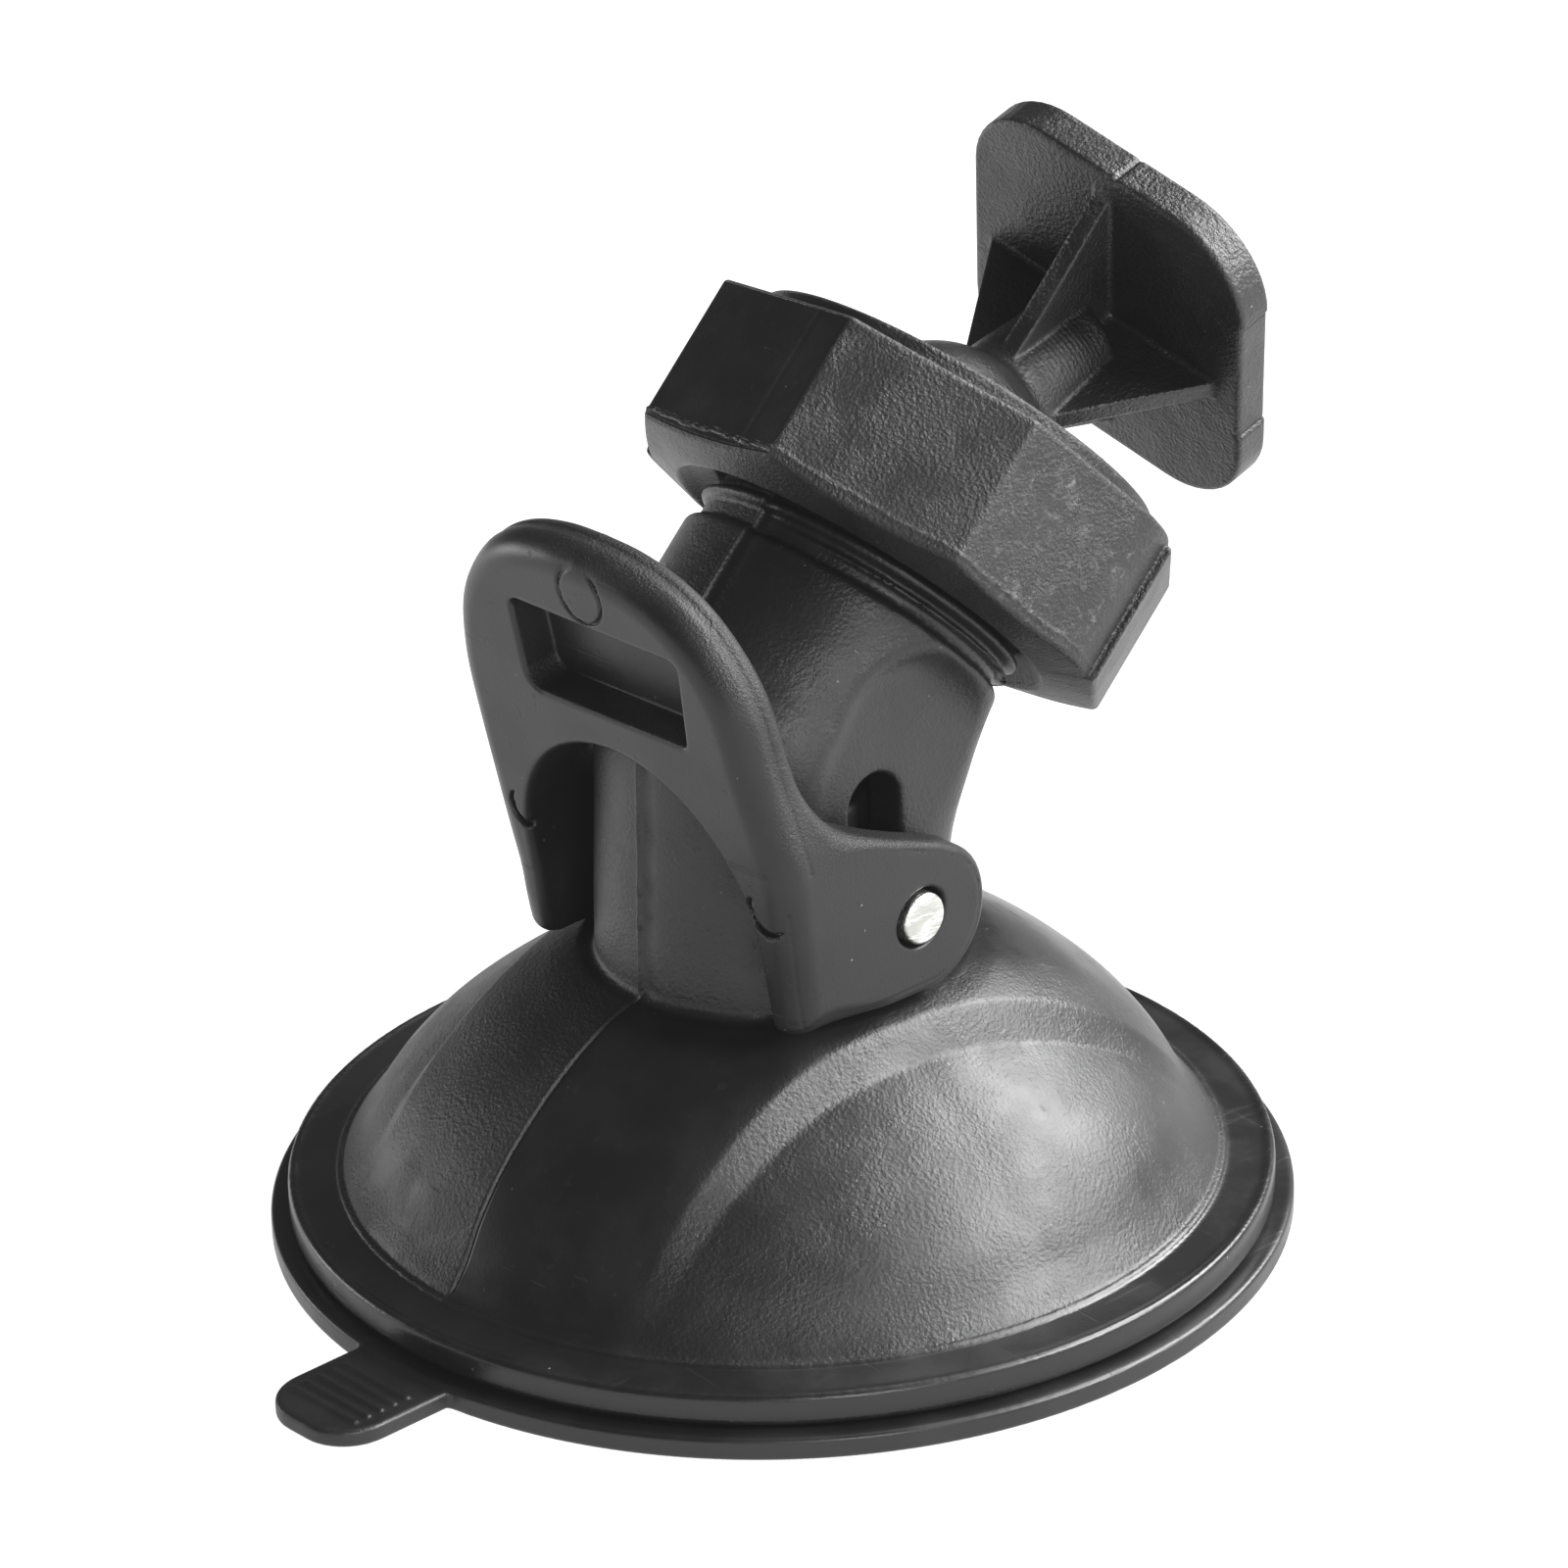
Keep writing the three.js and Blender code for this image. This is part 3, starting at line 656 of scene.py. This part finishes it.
SLOT_TOP, SLOT_BOTTOM, SLOT_HALF = 27.9, 18.7, 1.8
BORE_RADIUS, BORE_BOTTOM, BORE_TOP = 5.8, 8.0, 33.2
SOCKET_RADIUS = 7.5

# Profiles as (radius, height)
FLANGE_EDGE = [
    (0, FLANGE_BOTTOM), (FLANGE_RADIUS - 0.25, FLANGE_BOTTOM),
    (FLANGE_RADIUS, FLANGE_BOTTOM + 0.2), (FLANGE_RADIUS, FLANGE_TOP - 0.35),
    (FLANGE_RADIUS - 0.08, FLANGE_TOP - 0.1), (FLANGE_RADIUS - 0.25, FLANGE_TOP),
    (FLANGE_RADIUS - 0.45, FLANGE_TOP - 0.02), (FLANGE_RADIUS - 0.6, FLANGE_TOP - 0.1)]
FOOT_BEAD = [
    (FOOT_RADIUS + 0.2, FLANGE_TOP + 0.1), (FOOT_RADIUS + 0.14, FLANGE_TOP + 0.26),
    (FOOT_RADIUS, FLANGE_TOP + 0.33), (FOOT_RADIUS - 0.17, FLANGE_TOP + 0.27)]
BELL_TOP = [
    (23.3, 3.75), (22.3, 5.1), (21.2, 7.15), (19.8, 9.1), (18.2, 10.8), (16.2, 12.55),
    (14.2, 13.95), (12.1, 15.1), (10.4, 15.7)]
CHAMBER_TOP = [
    (CHAMBER_RADIUS, 1.5), (20.4, 4.4), (18, 7.9), (15, 10.9), (12, 13), (8, 13.5), (0, 13.6)]


def tower_frame(y, z):
    """Distances along the tower from the bend, and across it towards the back."""
    return y * SIN_T + (z - BEND) * COS_T, y * COS_T - (z - BEND) * SIN_T


def sunk(point):
    """A point of the bell's profile, sunk by a depth that fades out towards the foot."""
    radius, height = point
    depth = CHEEK_DEPTH * (1 - min(1, max(0, (radius - 10) / 12.4)) ** 2.2)
    return radius - 0.6 * depth, height - 0.75 * depth


BELL_HIGH = Outline(FLANGE_EDGE + FOOT_BEAD + spline(BELL_TOP) + [(9.6, 15.75), (0, 15.8)])
BELL_LOW = Outline(FLANGE_EDGE + FOOT_BEAD + spline([sunk(q) for q in BELL_TOP])
                   + [(8.6, 14.9), (0, 14.9)])
CHAMBER = Outline([(0, -3), (CHAMBER_RADIUS, -3), (CHAMBER_RADIUS, 1.5)] + spline(CHAMBER_TOP))
SCOOP = Outline([(-12, NECK_FLAT_BOTTOM), (14, NECK_FLAT_BOTTOM), (14, 25.1), (9.1, 29.7)]
                + arc(SCOOP_ALONG * SIN_T, BEND + SCOOP_ALONG * COS_T, SCOOP_RADIUS, 40, 134, 30)
                + [(-8.4, 24), (-12, 20)])
SLOT = Outline(arc(PIN_Y, SLOT_TOP - SLOT_HALF, SLOT_HALF, 0, 180, 16)
               + arc(PIN_Y, SLOT_BOTTOM + SLOT_HALF, SLOT_HALF, 180, 360, 16))


def bell(x, y, z):
    """A raised band runs front to back over the bell, and the cheeks beside it are sunk."""
    r = np.hypot(x, y)
    crease = CHEEK_EDGE + 0.065 * (y + 8 + np.hypot(y + 8, 2))
    t = (np.abs(x) - crease) / CHEEK_EDGE_WIDTH + 0.5
    sink = 0.5 * (np.hypot(t, 0.07) - np.hypot(t - 1, 0.05) + 1)
    return BELL_HIGH(r, z) * (1 - sink) + BELL_LOW(r, z) * sink


def neck_and_tower(x, y, z):
    """The round neck, its elbow and the leaning tower, with a fillet in the bend's back."""
    along, across = tower_frame(y, z)
    taper = (NECK_FOOT_RADIUS - NECK_RADIUS) * ramp(z, 16, BEND)
    neck = both(np.hypot(x, y) - (NECK_FOOT_RADIUS - taper), z - BEND)
    elbow = distance3(x, y, z - BEND) - NECK_RADIUS
    swell = NECK_RADIUS + (TOWER_RADIUS - NECK_RADIUS) * ramp(along, 0, 4)
    tower = both(both(np.hypot(x, across) - swell, along - TOWER_LENGTH, 0.45), -along)
    return either(np.minimum(neck, elbow), tower, TOWER_FILLET * ramp(y, 1.5, 7.5))


def thread(x, across, along):
    """The tower's thread. Its crests show under the nut, and fade out at the front."""
    turn = np.degrees(np.arctan2(across, x))
    side = ramp(turn, -85, -25) * (1 - ramp(turn, 120, 170))
    radius = THREAD_RADIUS
    for k, (height, width) in enumerate(CRESTS):
        crest = CREST_ALONG - CREST_PITCH * k + CREST_RISE * (turn + 120) / 135
        shown = height * (side if k else 0.7 + 0.3 * side)
        radius = radius + shown * np.exp(-((along - crest) / width) ** 4)
    radius = np.where(along > 9.9, THREAD_RADIUS - 0.1, radius)
    return both(both(np.hypot(x, across) - radius, along - THREAD_TOP, 0.4), 5 - along)


def mould_seam(x, y, z):
    """How far the seam down the front stands out: beads on the neck, a groove on the bell."""
    on_neck = ramp(-y, -3, 0) * ramp(z, 15.6, 16.6)
    on_bell = ramp(-y, 0, 2) * ramp(z, 3.5, 3.9) * (1 - on_neck)
    bead = np.sin(z * 1.7 + 2 * np.sin(z * 0.9)) * np.sin(z * 0.63 + 1)
    flash = (0.07 + 0.13 * ramp(bead, 0.1, 0.8) * (1 - ramp(z, 25, 27))) * ridge(x, 0.12)
    step = 0.07 * np.tanh(-x / 0.05)
    dip = 0.10 * ridge(x - 0.5, 0.45) * (x > 0)
    groove = 0.09 * ridge(x, 0.10)
    return on_neck * (flash + step - dip) + on_bell * (step - groove)


def housing_field(p):
    x, y, z = p.T
    side = np.abs(x)
    along, across = tower_frame(y, z)
    body = either(bell(x, y, z), neck_and_tower(x, y, z), 0.5)
    body = np.minimum(body, thread(x, across, along))
    flat = both(SCOOP(y, z), NECK_HALF_WIDTH - side, 2.6)
    body = without(body, flat, 0.55) - mould_seam(x, y, z)

    slot = both(SLOT(y, z), side - 12)
    r = np.hypot(x, y)
    bore = both(both(r - BORE_RADIUS, z - BORE_TOP), BORE_BOTTOM - z)
    socket = both(np.hypot(x, across) - SOCKET_RADIUS, BALL_ALONG - SOCKET_RADIUS - along)
    body = without(body, slot, 0.2)
    return without(without(without(body, CHAMBER(r, z), 0.15), bore), socket, 0.15)


HOUSING_GRID = (lines(-27, 27, 0.2, (0, 0.42, 0.06)), lines(-27, 27, 0.2), lines(1.2, 46, 0.18))
skin("base_housing", housing_field, HOUSING_GRID, HOUSING, "base")


# ---------------------------------------------------------------- lever
LEVER_LEAN = math.radians(10)
LEVER_HALF = 11.2
FACE_Y, FACE_Z = -8.2, 17.0   # a point on the front face
FACE_TOP = 44
HANDLE_THICK = 3.05
LEG_INNER, ARCH_CENTRE = 8.75, 4.6
LEG_DROP = 0.6                # the left leg ends lower than the right one
EAR_Y, EAR_Z, EAR_RADIUS, EAR_BOTTOM = 0.95, 20.4, 4.15, 16.25
EAR_TURN = 63                 # degrees round the ear at which the leg's top edge leaves it
WINDOW_DEPTH = 2.2
PIN_HOLE = 1.72
NECK_ROOM, TOWER_ROOM = 9.55, 9.75
SHUT_LINE = 2.05              # depth of the line that the mould's halves leave
RING_X, RING_UP, RING_RADIUS = -0.48, 22.8, 1.6
EJECTOR_RADIUS, EJECTOR_SHIFT = 1.25, 0.34
EJECTORS = ((-8.75, 6.8), (9.75, 6.9))


def face_frame(y, z):
    """Distances up the lever's front face and into it."""
    cos_l, sin_l = math.cos(LEVER_LEAN), math.sin(LEVER_LEAN)
    return ((z - FACE_Z) * cos_l - (y - FACE_Y) * sin_l,
            (y - FACE_Y) * cos_l + (z - FACE_Z) * sin_l)


def on_face(z, into=0.0):
    """The point of the side profile at this height, on the front face or behind it."""
    return FACE_Y - (z - FACE_Z) * math.tan(LEVER_LEAN) + into, z


def crescent(x, up, centre_x, centre_up):
    """The mark that a slightly tilted ejector pin leaves."""
    u, v = x - centre_x, up - centre_up
    outer = np.hypot(u, v) - EJECTOR_RADIUS
    inner = np.hypot(u - EJECTOR_SHIFT, v - EJECTOR_SHIFT) - EJECTOR_RADIUS
    return np.maximum(outer, -inner)


# The front outline is given as (across, up), the side profile as (y, z)
RIGHT_EDGE = spline([
    (10.45, -3.0), (10.5, 1.6), (10.8, 5.0), (11.1, 9.0), (LEVER_HALF, 13.0), (11.1, 16.0),
    (10.55, 18.9), (9.4, 21.1), (7.6, 23.05), (5.3, 24.3), (2.6, 24.95), (0, 25.1)], 6)
FRONT = Outline(RIGHT_EDGE + [(-u, v) for u, v in RIGHT_EDGE[::-1]][1:])
ARCH = Outline([(-LEG_INNER, -6), (LEG_INNER, -6)]
               + arc(0, ARCH_CENTRE, LEG_INNER, 0, 180, 40))
WINDOW = Outline(rounded([(-6.3, 15.4, 1.1), (5.9, 15.8, 0.4), (6.35, 21.0, 0.5),
                          (-6.5, 20.8, 0.6)]))
EAR_END = (EAR_Y + EAR_RADIUS * math.cos(math.radians(EAR_TURN)),
           EAR_Z + EAR_RADIUS * math.sin(math.radians(EAR_TURN)))
LEG_TOP = [(EAR_END[0] - 1.2, EAR_END[1] + 0.66), (-3.0, 26.6), (-5.2, 27.75), (-6.55, 29.1),
           (-7.4, 30.8), (-7.85, 33)]
PROFILE = Outline([on_face(FACE_TOP)]
                  + spline([on_face(17.4), (-8.0, 16.6), (-7.1, EAR_BOTTOM)], 6)
                  + [(EAR_Y, EAR_BOTTOM)]
                  + arc(EAR_Y, EAR_Z, EAR_RADIUS, -90, EAR_TURN, 20)
                  + spline(LEG_TOP, 6) + [on_face(FACE_TOP, HANDLE_THICK)])


def lever_field(p):
    x, y, z = p.T
    up, into = face_frame(y, z)
    along, across = tower_frame(y, z)
    handle = ramp(up, 8, 16)
    outline = FRONT((x + 0.12 + 0.8 * handle) / (1.064 - 0.048 * handle), up)
    profile = PROFILE(y, z + LEG_DROP * ramp(-x, 5, 9) * (1 - ramp(z, 17.5, 20)))
    on_handle = ramp(up, 8, 12)
    rounding = 1.7 - ramp(into, 1.7, 2.4) * on_handle - 1.15 * ramp(into, 1.8, 7) * (1 - on_handle)
    body = both(outline, profile, rounding)
    on_handle = ramp(up, 7, 9)
    shut = np.abs(into - SHUT_LINE) * on_handle + np.abs(profile + 0.55) * (1 - on_handle)
    body = body + 0.05 * ridge(shut, 0.07) * ramp(outline, -0.9, -0.3)

    neck = both(np.hypot(x, y) - NECK_ROOM, z - BEND)
    elbow = distance3(x, y, z - BEND) - NECK_ROOM
    tower = both(np.hypot(x, across) - TOWER_ROOM, -along)
    room = np.minimum(np.minimum(neck, elbow), tower)
    body = without(body, both(room, 20 - z), 0.3)
    body = without(body, both(ARCH(x + 0.15, up), -1 - into), 0.45)
    body = without(body, both(WINDOW(x, up), into - WINDOW_DEPTH, 0.2), 0.25)
    body = without(body, np.hypot(y - PIN_Y, z - PIN_Z) - PIN_HOLE, 0.12)
    ring = slab(np.hypot(x - RING_X, up - RING_UP), RING_RADIUS, 0.08)
    body = without(body, both(ring, into - 0.22), 0.05)
    for centre in EJECTORS:
        body = without(body, both(crescent(x, up, *centre), into - 0.5), 0.05)
    return body


LEVER_GRID = (lines(-12.6, 12.2, 0.13), lines(-13.2, 5.6, 0.13), lines(15.2, 43.0, 0.13))
skin("lever", lever_field, LEVER_GRID, LEVER, "lever")


# ---------------------------------------------------------------- collar nut
# The nut, seat and ring are drawn about the tower's axis, their z along it from the bend
TOWER_MATRIX = Matrix.Translation(Vector((0, 0, BEND))) @ Matrix.Rotation(-TILT, 4, "X")
SIDES = 8
NUT_TURN = math.radians(13)
NUT_CORNER, NUT_ROUNDING = 14.5, 0.55
NUT_BEVEL = 13.95             # the corner at NUT_TURN is cut off here
PARTING = math.radians(20.7)  # beyond it, the mould's other half stands out by PARTING_STEP
PARTING_STEP = 0.42
LIP_RADIUS, LIP_TOP = 11.75, 19.85
SEAM_TURN = -86.5             # degrees
FLASH_ALONG = 10.72


def octagon():
    """The nut's outline, its corners rounded."""
    reach = NUT_CORNER - NUT_ROUNDING / math.cos(TURN / SIDES / 2)
    half = 180 / SIDES
    out = []
    for k in range(SIDES):
        a = NUT_TURN + k * TURN / SIDES
        middle = math.degrees(a)
        out += arc(reach * math.cos(a), reach * math.sin(a), NUT_ROUNDING,
                   middle - half, middle + half, 6)
    return out


OCTAGON = Outline(octagon())
# Profiles as (radius, distance along)
NUT_BORE = Outline([(0, -2), (10.9, -2), (10.9, 9.6), (10.6, 10.0), (9.5, 10.6), (9.3, 11.5),
                    (9.05, 16.65), (6.5, 19.7), (6.5, 22), (0, 22)])
NEAR_SHEATH = Outline([(0, 9.4), (11.2, 9.4), (15.4, 10.6), (15.4, 18.8), (0, 18.8)])
FAR_SHEATH = Outline([(0, 9.5), (11.6, 9.5), (15.8, 10.7), (15.8, 18.35), (0, 18.35)])


def nut_field(p):
    x, across, along = p.T
    r = np.hypot(x, across)
    turn = np.degrees(np.arctan2(across, x))
    flats = OCTAGON(x, across)
    bevel = x * math.cos(NUT_TURN) + across * math.sin(NUT_TURN) - NUT_BEVEL
    seam = 0.045 * ridge((turn - SEAM_TURN) * 0.234, 0.16)
    wobble = 0.04 * np.sin(turn * 0.31) + 0.03 * np.sin(turn * 0.83)
    flash = 0.09 * ridge(along - FLASH_ALONG - wobble - 0.1 * (r - 13.5), 0.09)
    near = both(both(flats, bevel, 0.5) - seam - flash, NEAR_SHEATH(r, along), 0.25)
    far = both(flats - PARTING_STEP, FAR_SHEATH(r, along), 0.25)
    far = both(far, x * math.sin(PARTING) - across * math.cos(PARTING), 0.1)
    lip = both(both(r - LIP_RADIUS, along - LIP_TOP, 0.2), 15 - along)
    return without(either(np.minimum(near, far), lip, 0.3), NUT_BORE(r, along), 0.2)


NUT_GRID = (lines(-15.2, 15.2, 0.15), lines(-15.2, 15.2, 0.15), lines(8.9, 20.2, 0.13))
skin("collar_nut", nut_field, NUT_GRID, NUT, "nut", TOWER_MATRIX)


# ---------------------------------------------------------------- camera head
# Drawn about the ball's centre, z along the stem
HEAD_TILT = math.radians(72.2)
HEAD_ROLL = math.radians(-18)
PLATE_X, PLATE_Y, PLATE_MID, PLATE_HALF = 0.25, -0.8, 14.4, 1.1
RIB_HALF, RIB_REACH = 0.55, 8.3
TOP_RIB = 1.5                 # how much further the top rib reaches
GATES = (-4.9, 3.4)           # nicks in the plate's right edge, which is worn back between them
PLATE = Outline(rounded_plate(9.55, 10.15, 5.2))
RIB = Outline([(-2, 4.0), (2.0, 4.0), (2.65, 5.0), (8.0, 13.3), (RIB_REACH, 13.8), (-2, 13.8)])
STEM = Outline([(0, 3), (3.2, 3), (3.15, 6), (2.75, 10.6)] + arc(1.9, 10.9, 0.85, 0, 80, 6)
               + [(0.9, 12.0), (0.9, 14), (0, 14)])


def head_field(p):
    x, y, z = p.T
    r = np.hypot(x, y)
    tool_rings = 0.02 * np.cos(z * TURN / 0.3) * ramp(z, 6.0, 6.4) * (1 - ramp(z, 10.4, 10.8))
    body = either(distance3(x, y, z) - BALL_RADIUS, STEM(r, z) - tool_rings, 0.4)
    stretch = 1 + TOP_RIB / RIB_REACH * ramp(-y, 0, 0.1) * ramp(z, 5, 13.3)
    flat_rib = both(RIB(np.abs(x), z), np.abs(y) - RIB_HALF, 0.12)
    upright_rib = both(RIB(np.abs(y) / stretch, z), np.abs(x) - RIB_HALF, 0.12)
    body = either(body, np.minimum(flat_rib, upright_rib), 0.2)

    u, v = x - PLATE_X, y - PLATE_Y
    nicks = 0.12 * ramp(x, 8, 9) * sum(ridge(v - gate, 0.09) for gate in GATES)
    between = (ramp(v, GATES[0] - 0.05, GATES[0] + 0.05)
               * (1 - ramp(v, GATES[1] - 0.05, GATES[1] + 0.05)))
    worn = 0.12 * ramp(x, 8.5, 9.2) * between
    top_nick = 0.16 * ramp(-y, 8, 9) * ridge(x - 0.75, 0.13)
    rim = PLATE(u, v) + nicks + worn + top_nick
    return either(body, both(rim, slab(z, PLATE_MID, PLATE_HALF), 0.3), 0.3)


BALL_CENTRE = Vector((0, BALL_ALONG * SIN_T, BEND + BALL_ALONG * COS_T))
HEAD_MATRIX = (Matrix.Translation(BALL_CENTRE) @ Matrix.Rotation(-HEAD_TILT, 4, "X")
               @ Matrix.Rotation(-HEAD_ROLL, 4, "Z"))
HEAD_GRID = (lines(-10, 10.6, 0.15), lines(-11.5, 9.9, 0.15), lines(-6.4, 16, 0.1))
skin("camera_head", head_field, HEAD_GRID, HEAD, "head", HEAD_MATRIX, rounds=1)


# ---------------------------------------------------------------- suction pad
PAD_RADIUS, PAD_HALF = 27.5, 0.63
TAB_X, TAB_Y = 0.7, -29.0
TAB_HALF = 0.5
TAB_RIB_PITCH, TAB_RIB_FIRST, TAB_RIB_MIDDLE = 0.85, -32.6, -30.9
SEAL_RINGS = (22.0, 24.5)
TAB = Outline(rounded_plate(3.5, 5.5, 2.8))


def pad_field(p):
    x, y, z = p.T
    r = np.hypot(x, y)
    disc = both(r - PAD_RADIUS, slab(z, PAD_HALF, PAD_HALF), 0.25)
    tab = both(TAB(x - TAB_X, y - TAB_Y), slab(z, PAD_HALF, TAB_HALF), 0.25)
    half = TAB_RIB_PITCH / 2
    ribs = both(slab(np.mod(y - TAB_RIB_FIRST + half, TAB_RIB_PITCH), half, 0.2),
                slab(z, 0.9, 0.38))
    ribs = both(both(ribs, slab(x, TAB_X, 2.6)), slab(y, TAB_RIB_MIDDLE, 2.0))
    body = either(either(disc, tab, 0.2), ribs, 0.1)
    rings = np.minimum(*[slab(r, radius, 0.25) for radius in SEAL_RINGS])
    return without(body, both(rings, z - 0.18), 0.1)


PAD_GRID = (lines(-28, 28, 0.22), lines(-35, 28, 0.22), lines(-0.4, 1.8, 0.12))
pad = skin("suction_pad", pad_field, PAD_GRID, VINYL)
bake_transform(pad)
# Reads back the pad's points, in metres, after its transform is baked
co = np.empty(len(pad.data.vertices) * 3, np.float32)
pad.data.vertices.foreach_get("co", co)


# ---------------------------------------------------------------- pin, stem and spring
PIN_HALF = 11.4
STEM_RADIUS, STEM_TOP, STEM_BOTTOM = 5.5, 25.2, 1.6
STEM_HOLE = 1.8
FOOT_DISC_RADIUS, FOOT_DISC_Z, FOOT_DISC_HALF = 11.0, 2.3, 0.8
SPRING_LOW, SPRING_HIGH, SPRING_TURNS = 25.85, 32.55, 4.5
SPRING_RADIUS, SPRING_WIRE = 3.6, 0.34


def pin_field(p):
    x, y, z = p.T
    r = np.hypot(y - PIN_Y, z - PIN_Z)
    dish = 0.04 * (1 - ramp(r, 0.2, 0.9)) * ramp(np.abs(x), PIN_HALF - 0.5, PIN_HALF - 0.1)
    return both(r - PIN_RADIUS, np.abs(x) - PIN_HALF + dish, 0.15)


def stem_field(p):
    x, y, z = p.T
    r = np.hypot(x, y)
    foot = both(r - FOOT_DISC_RADIUS, slab(z, FOOT_DISC_Z, FOOT_DISC_HALF), 0.4)
    shaft = both(both(r - STEM_RADIUS, z - STEM_TOP, 0.5), STEM_BOTTOM - z)
    hole = np.hypot(y - PIN_Y, z - PIN_Z) - STEM_HOLE
    return without(either(foot, shaft, 1.6), hole, 0.15)


def spring_field(p):
    x, y, z = p.T
    turn = np.mod(np.arctan2(y, x) / TURN, 1)
    pitch = (SPRING_HIGH - SPRING_LOW) / SPRING_TURNS
    count = np.clip(np.round((z - SPRING_LOW) / pitch - turn), 0, np.floor(SPRING_TURNS - turn))
    coil = SPRING_LOW + (count + turn) * pitch
    slant = 0.98
    return np.hypot(np.hypot(x, y) - SPRING_RADIUS, (z - coil) * slant) - SPRING_WIRE


PIN_GRID = (lines(-11.8, 11.8, 0.1), lines(-1.6, 2.2, 0.1), lines(18.9, 22.7, 0.1))
STEM_GRID = (lines(-11.5, 11.5, 0.25), lines(-11.5, 11.5, 0.25), lines(1.2, 25.8, 0.25))
SPRING_GRID = (lines(-4.3, 4.3, 0.12), lines(-4.3, 4.3, 0.12), lines(25.2, 33.2, 0.12))
skin("lever_pin", pin_field, PIN_GRID, PIN, "pull_core")
skin("pull_stem", stem_field, STEM_GRID, INNER, "pull_core")
spring = skin("return_spring", spring_field, SPRING_GRID, SPRING, "base")
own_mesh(spring)


# ---------------------------------------------------------------- ball seat and grip ring
SEAT_CUP = Outline([(0, 9.9), (7.2, 9.9), (7.2, 16.3), (6.1, 16.3)]
                   + arc(0, BALL_ALONG, SEAT_RADIUS, -8, -90, 16))
RING_WEDGE = Outline([(8.62, 16.8), (6.55, 19.25)]
                     + arc(0, BALL_ALONG, SEAT_RADIUS, 20.5, -2.8, 8))
SKIN_GAP = 0.05
SEAT_RIBS = 24


def seat_field(p):
    x, across, along = p.T
    r = np.hypot(x, across)
    ribs = 0.05 * np.cos(np.arctan2(across, x) * SEAT_RIBS) * ramp(r, 6.9, 7.2)
    return SEAT_CUP(r, along) + SKIN_GAP + ribs


def ring_field(p):
    x, across, along = p.T
    split = both(slab(across, 0, 0.5), -x)
    return without(RING_WEDGE(np.hypot(x, across), along) + SKIN_GAP, split, 0.1)


SEAT_GRID = (lines(-7.7, 7.7, 0.2), lines(-7.7, 7.7, 0.2), lines(9.4, 16.8, 0.2))
RING_GRID = (lines(-9.1, 9.1, 0.16), lines(-9.1, 9.1, 0.16), lines(16.2, 19.8, 0.13))
skin("ball_seat", seat_field, SEAT_GRID, INNER, "seat", TOWER_MATRIX)
skin("grip_ring", ring_field, RING_GRID, INNER, "ring", TOWER_MATRIX)
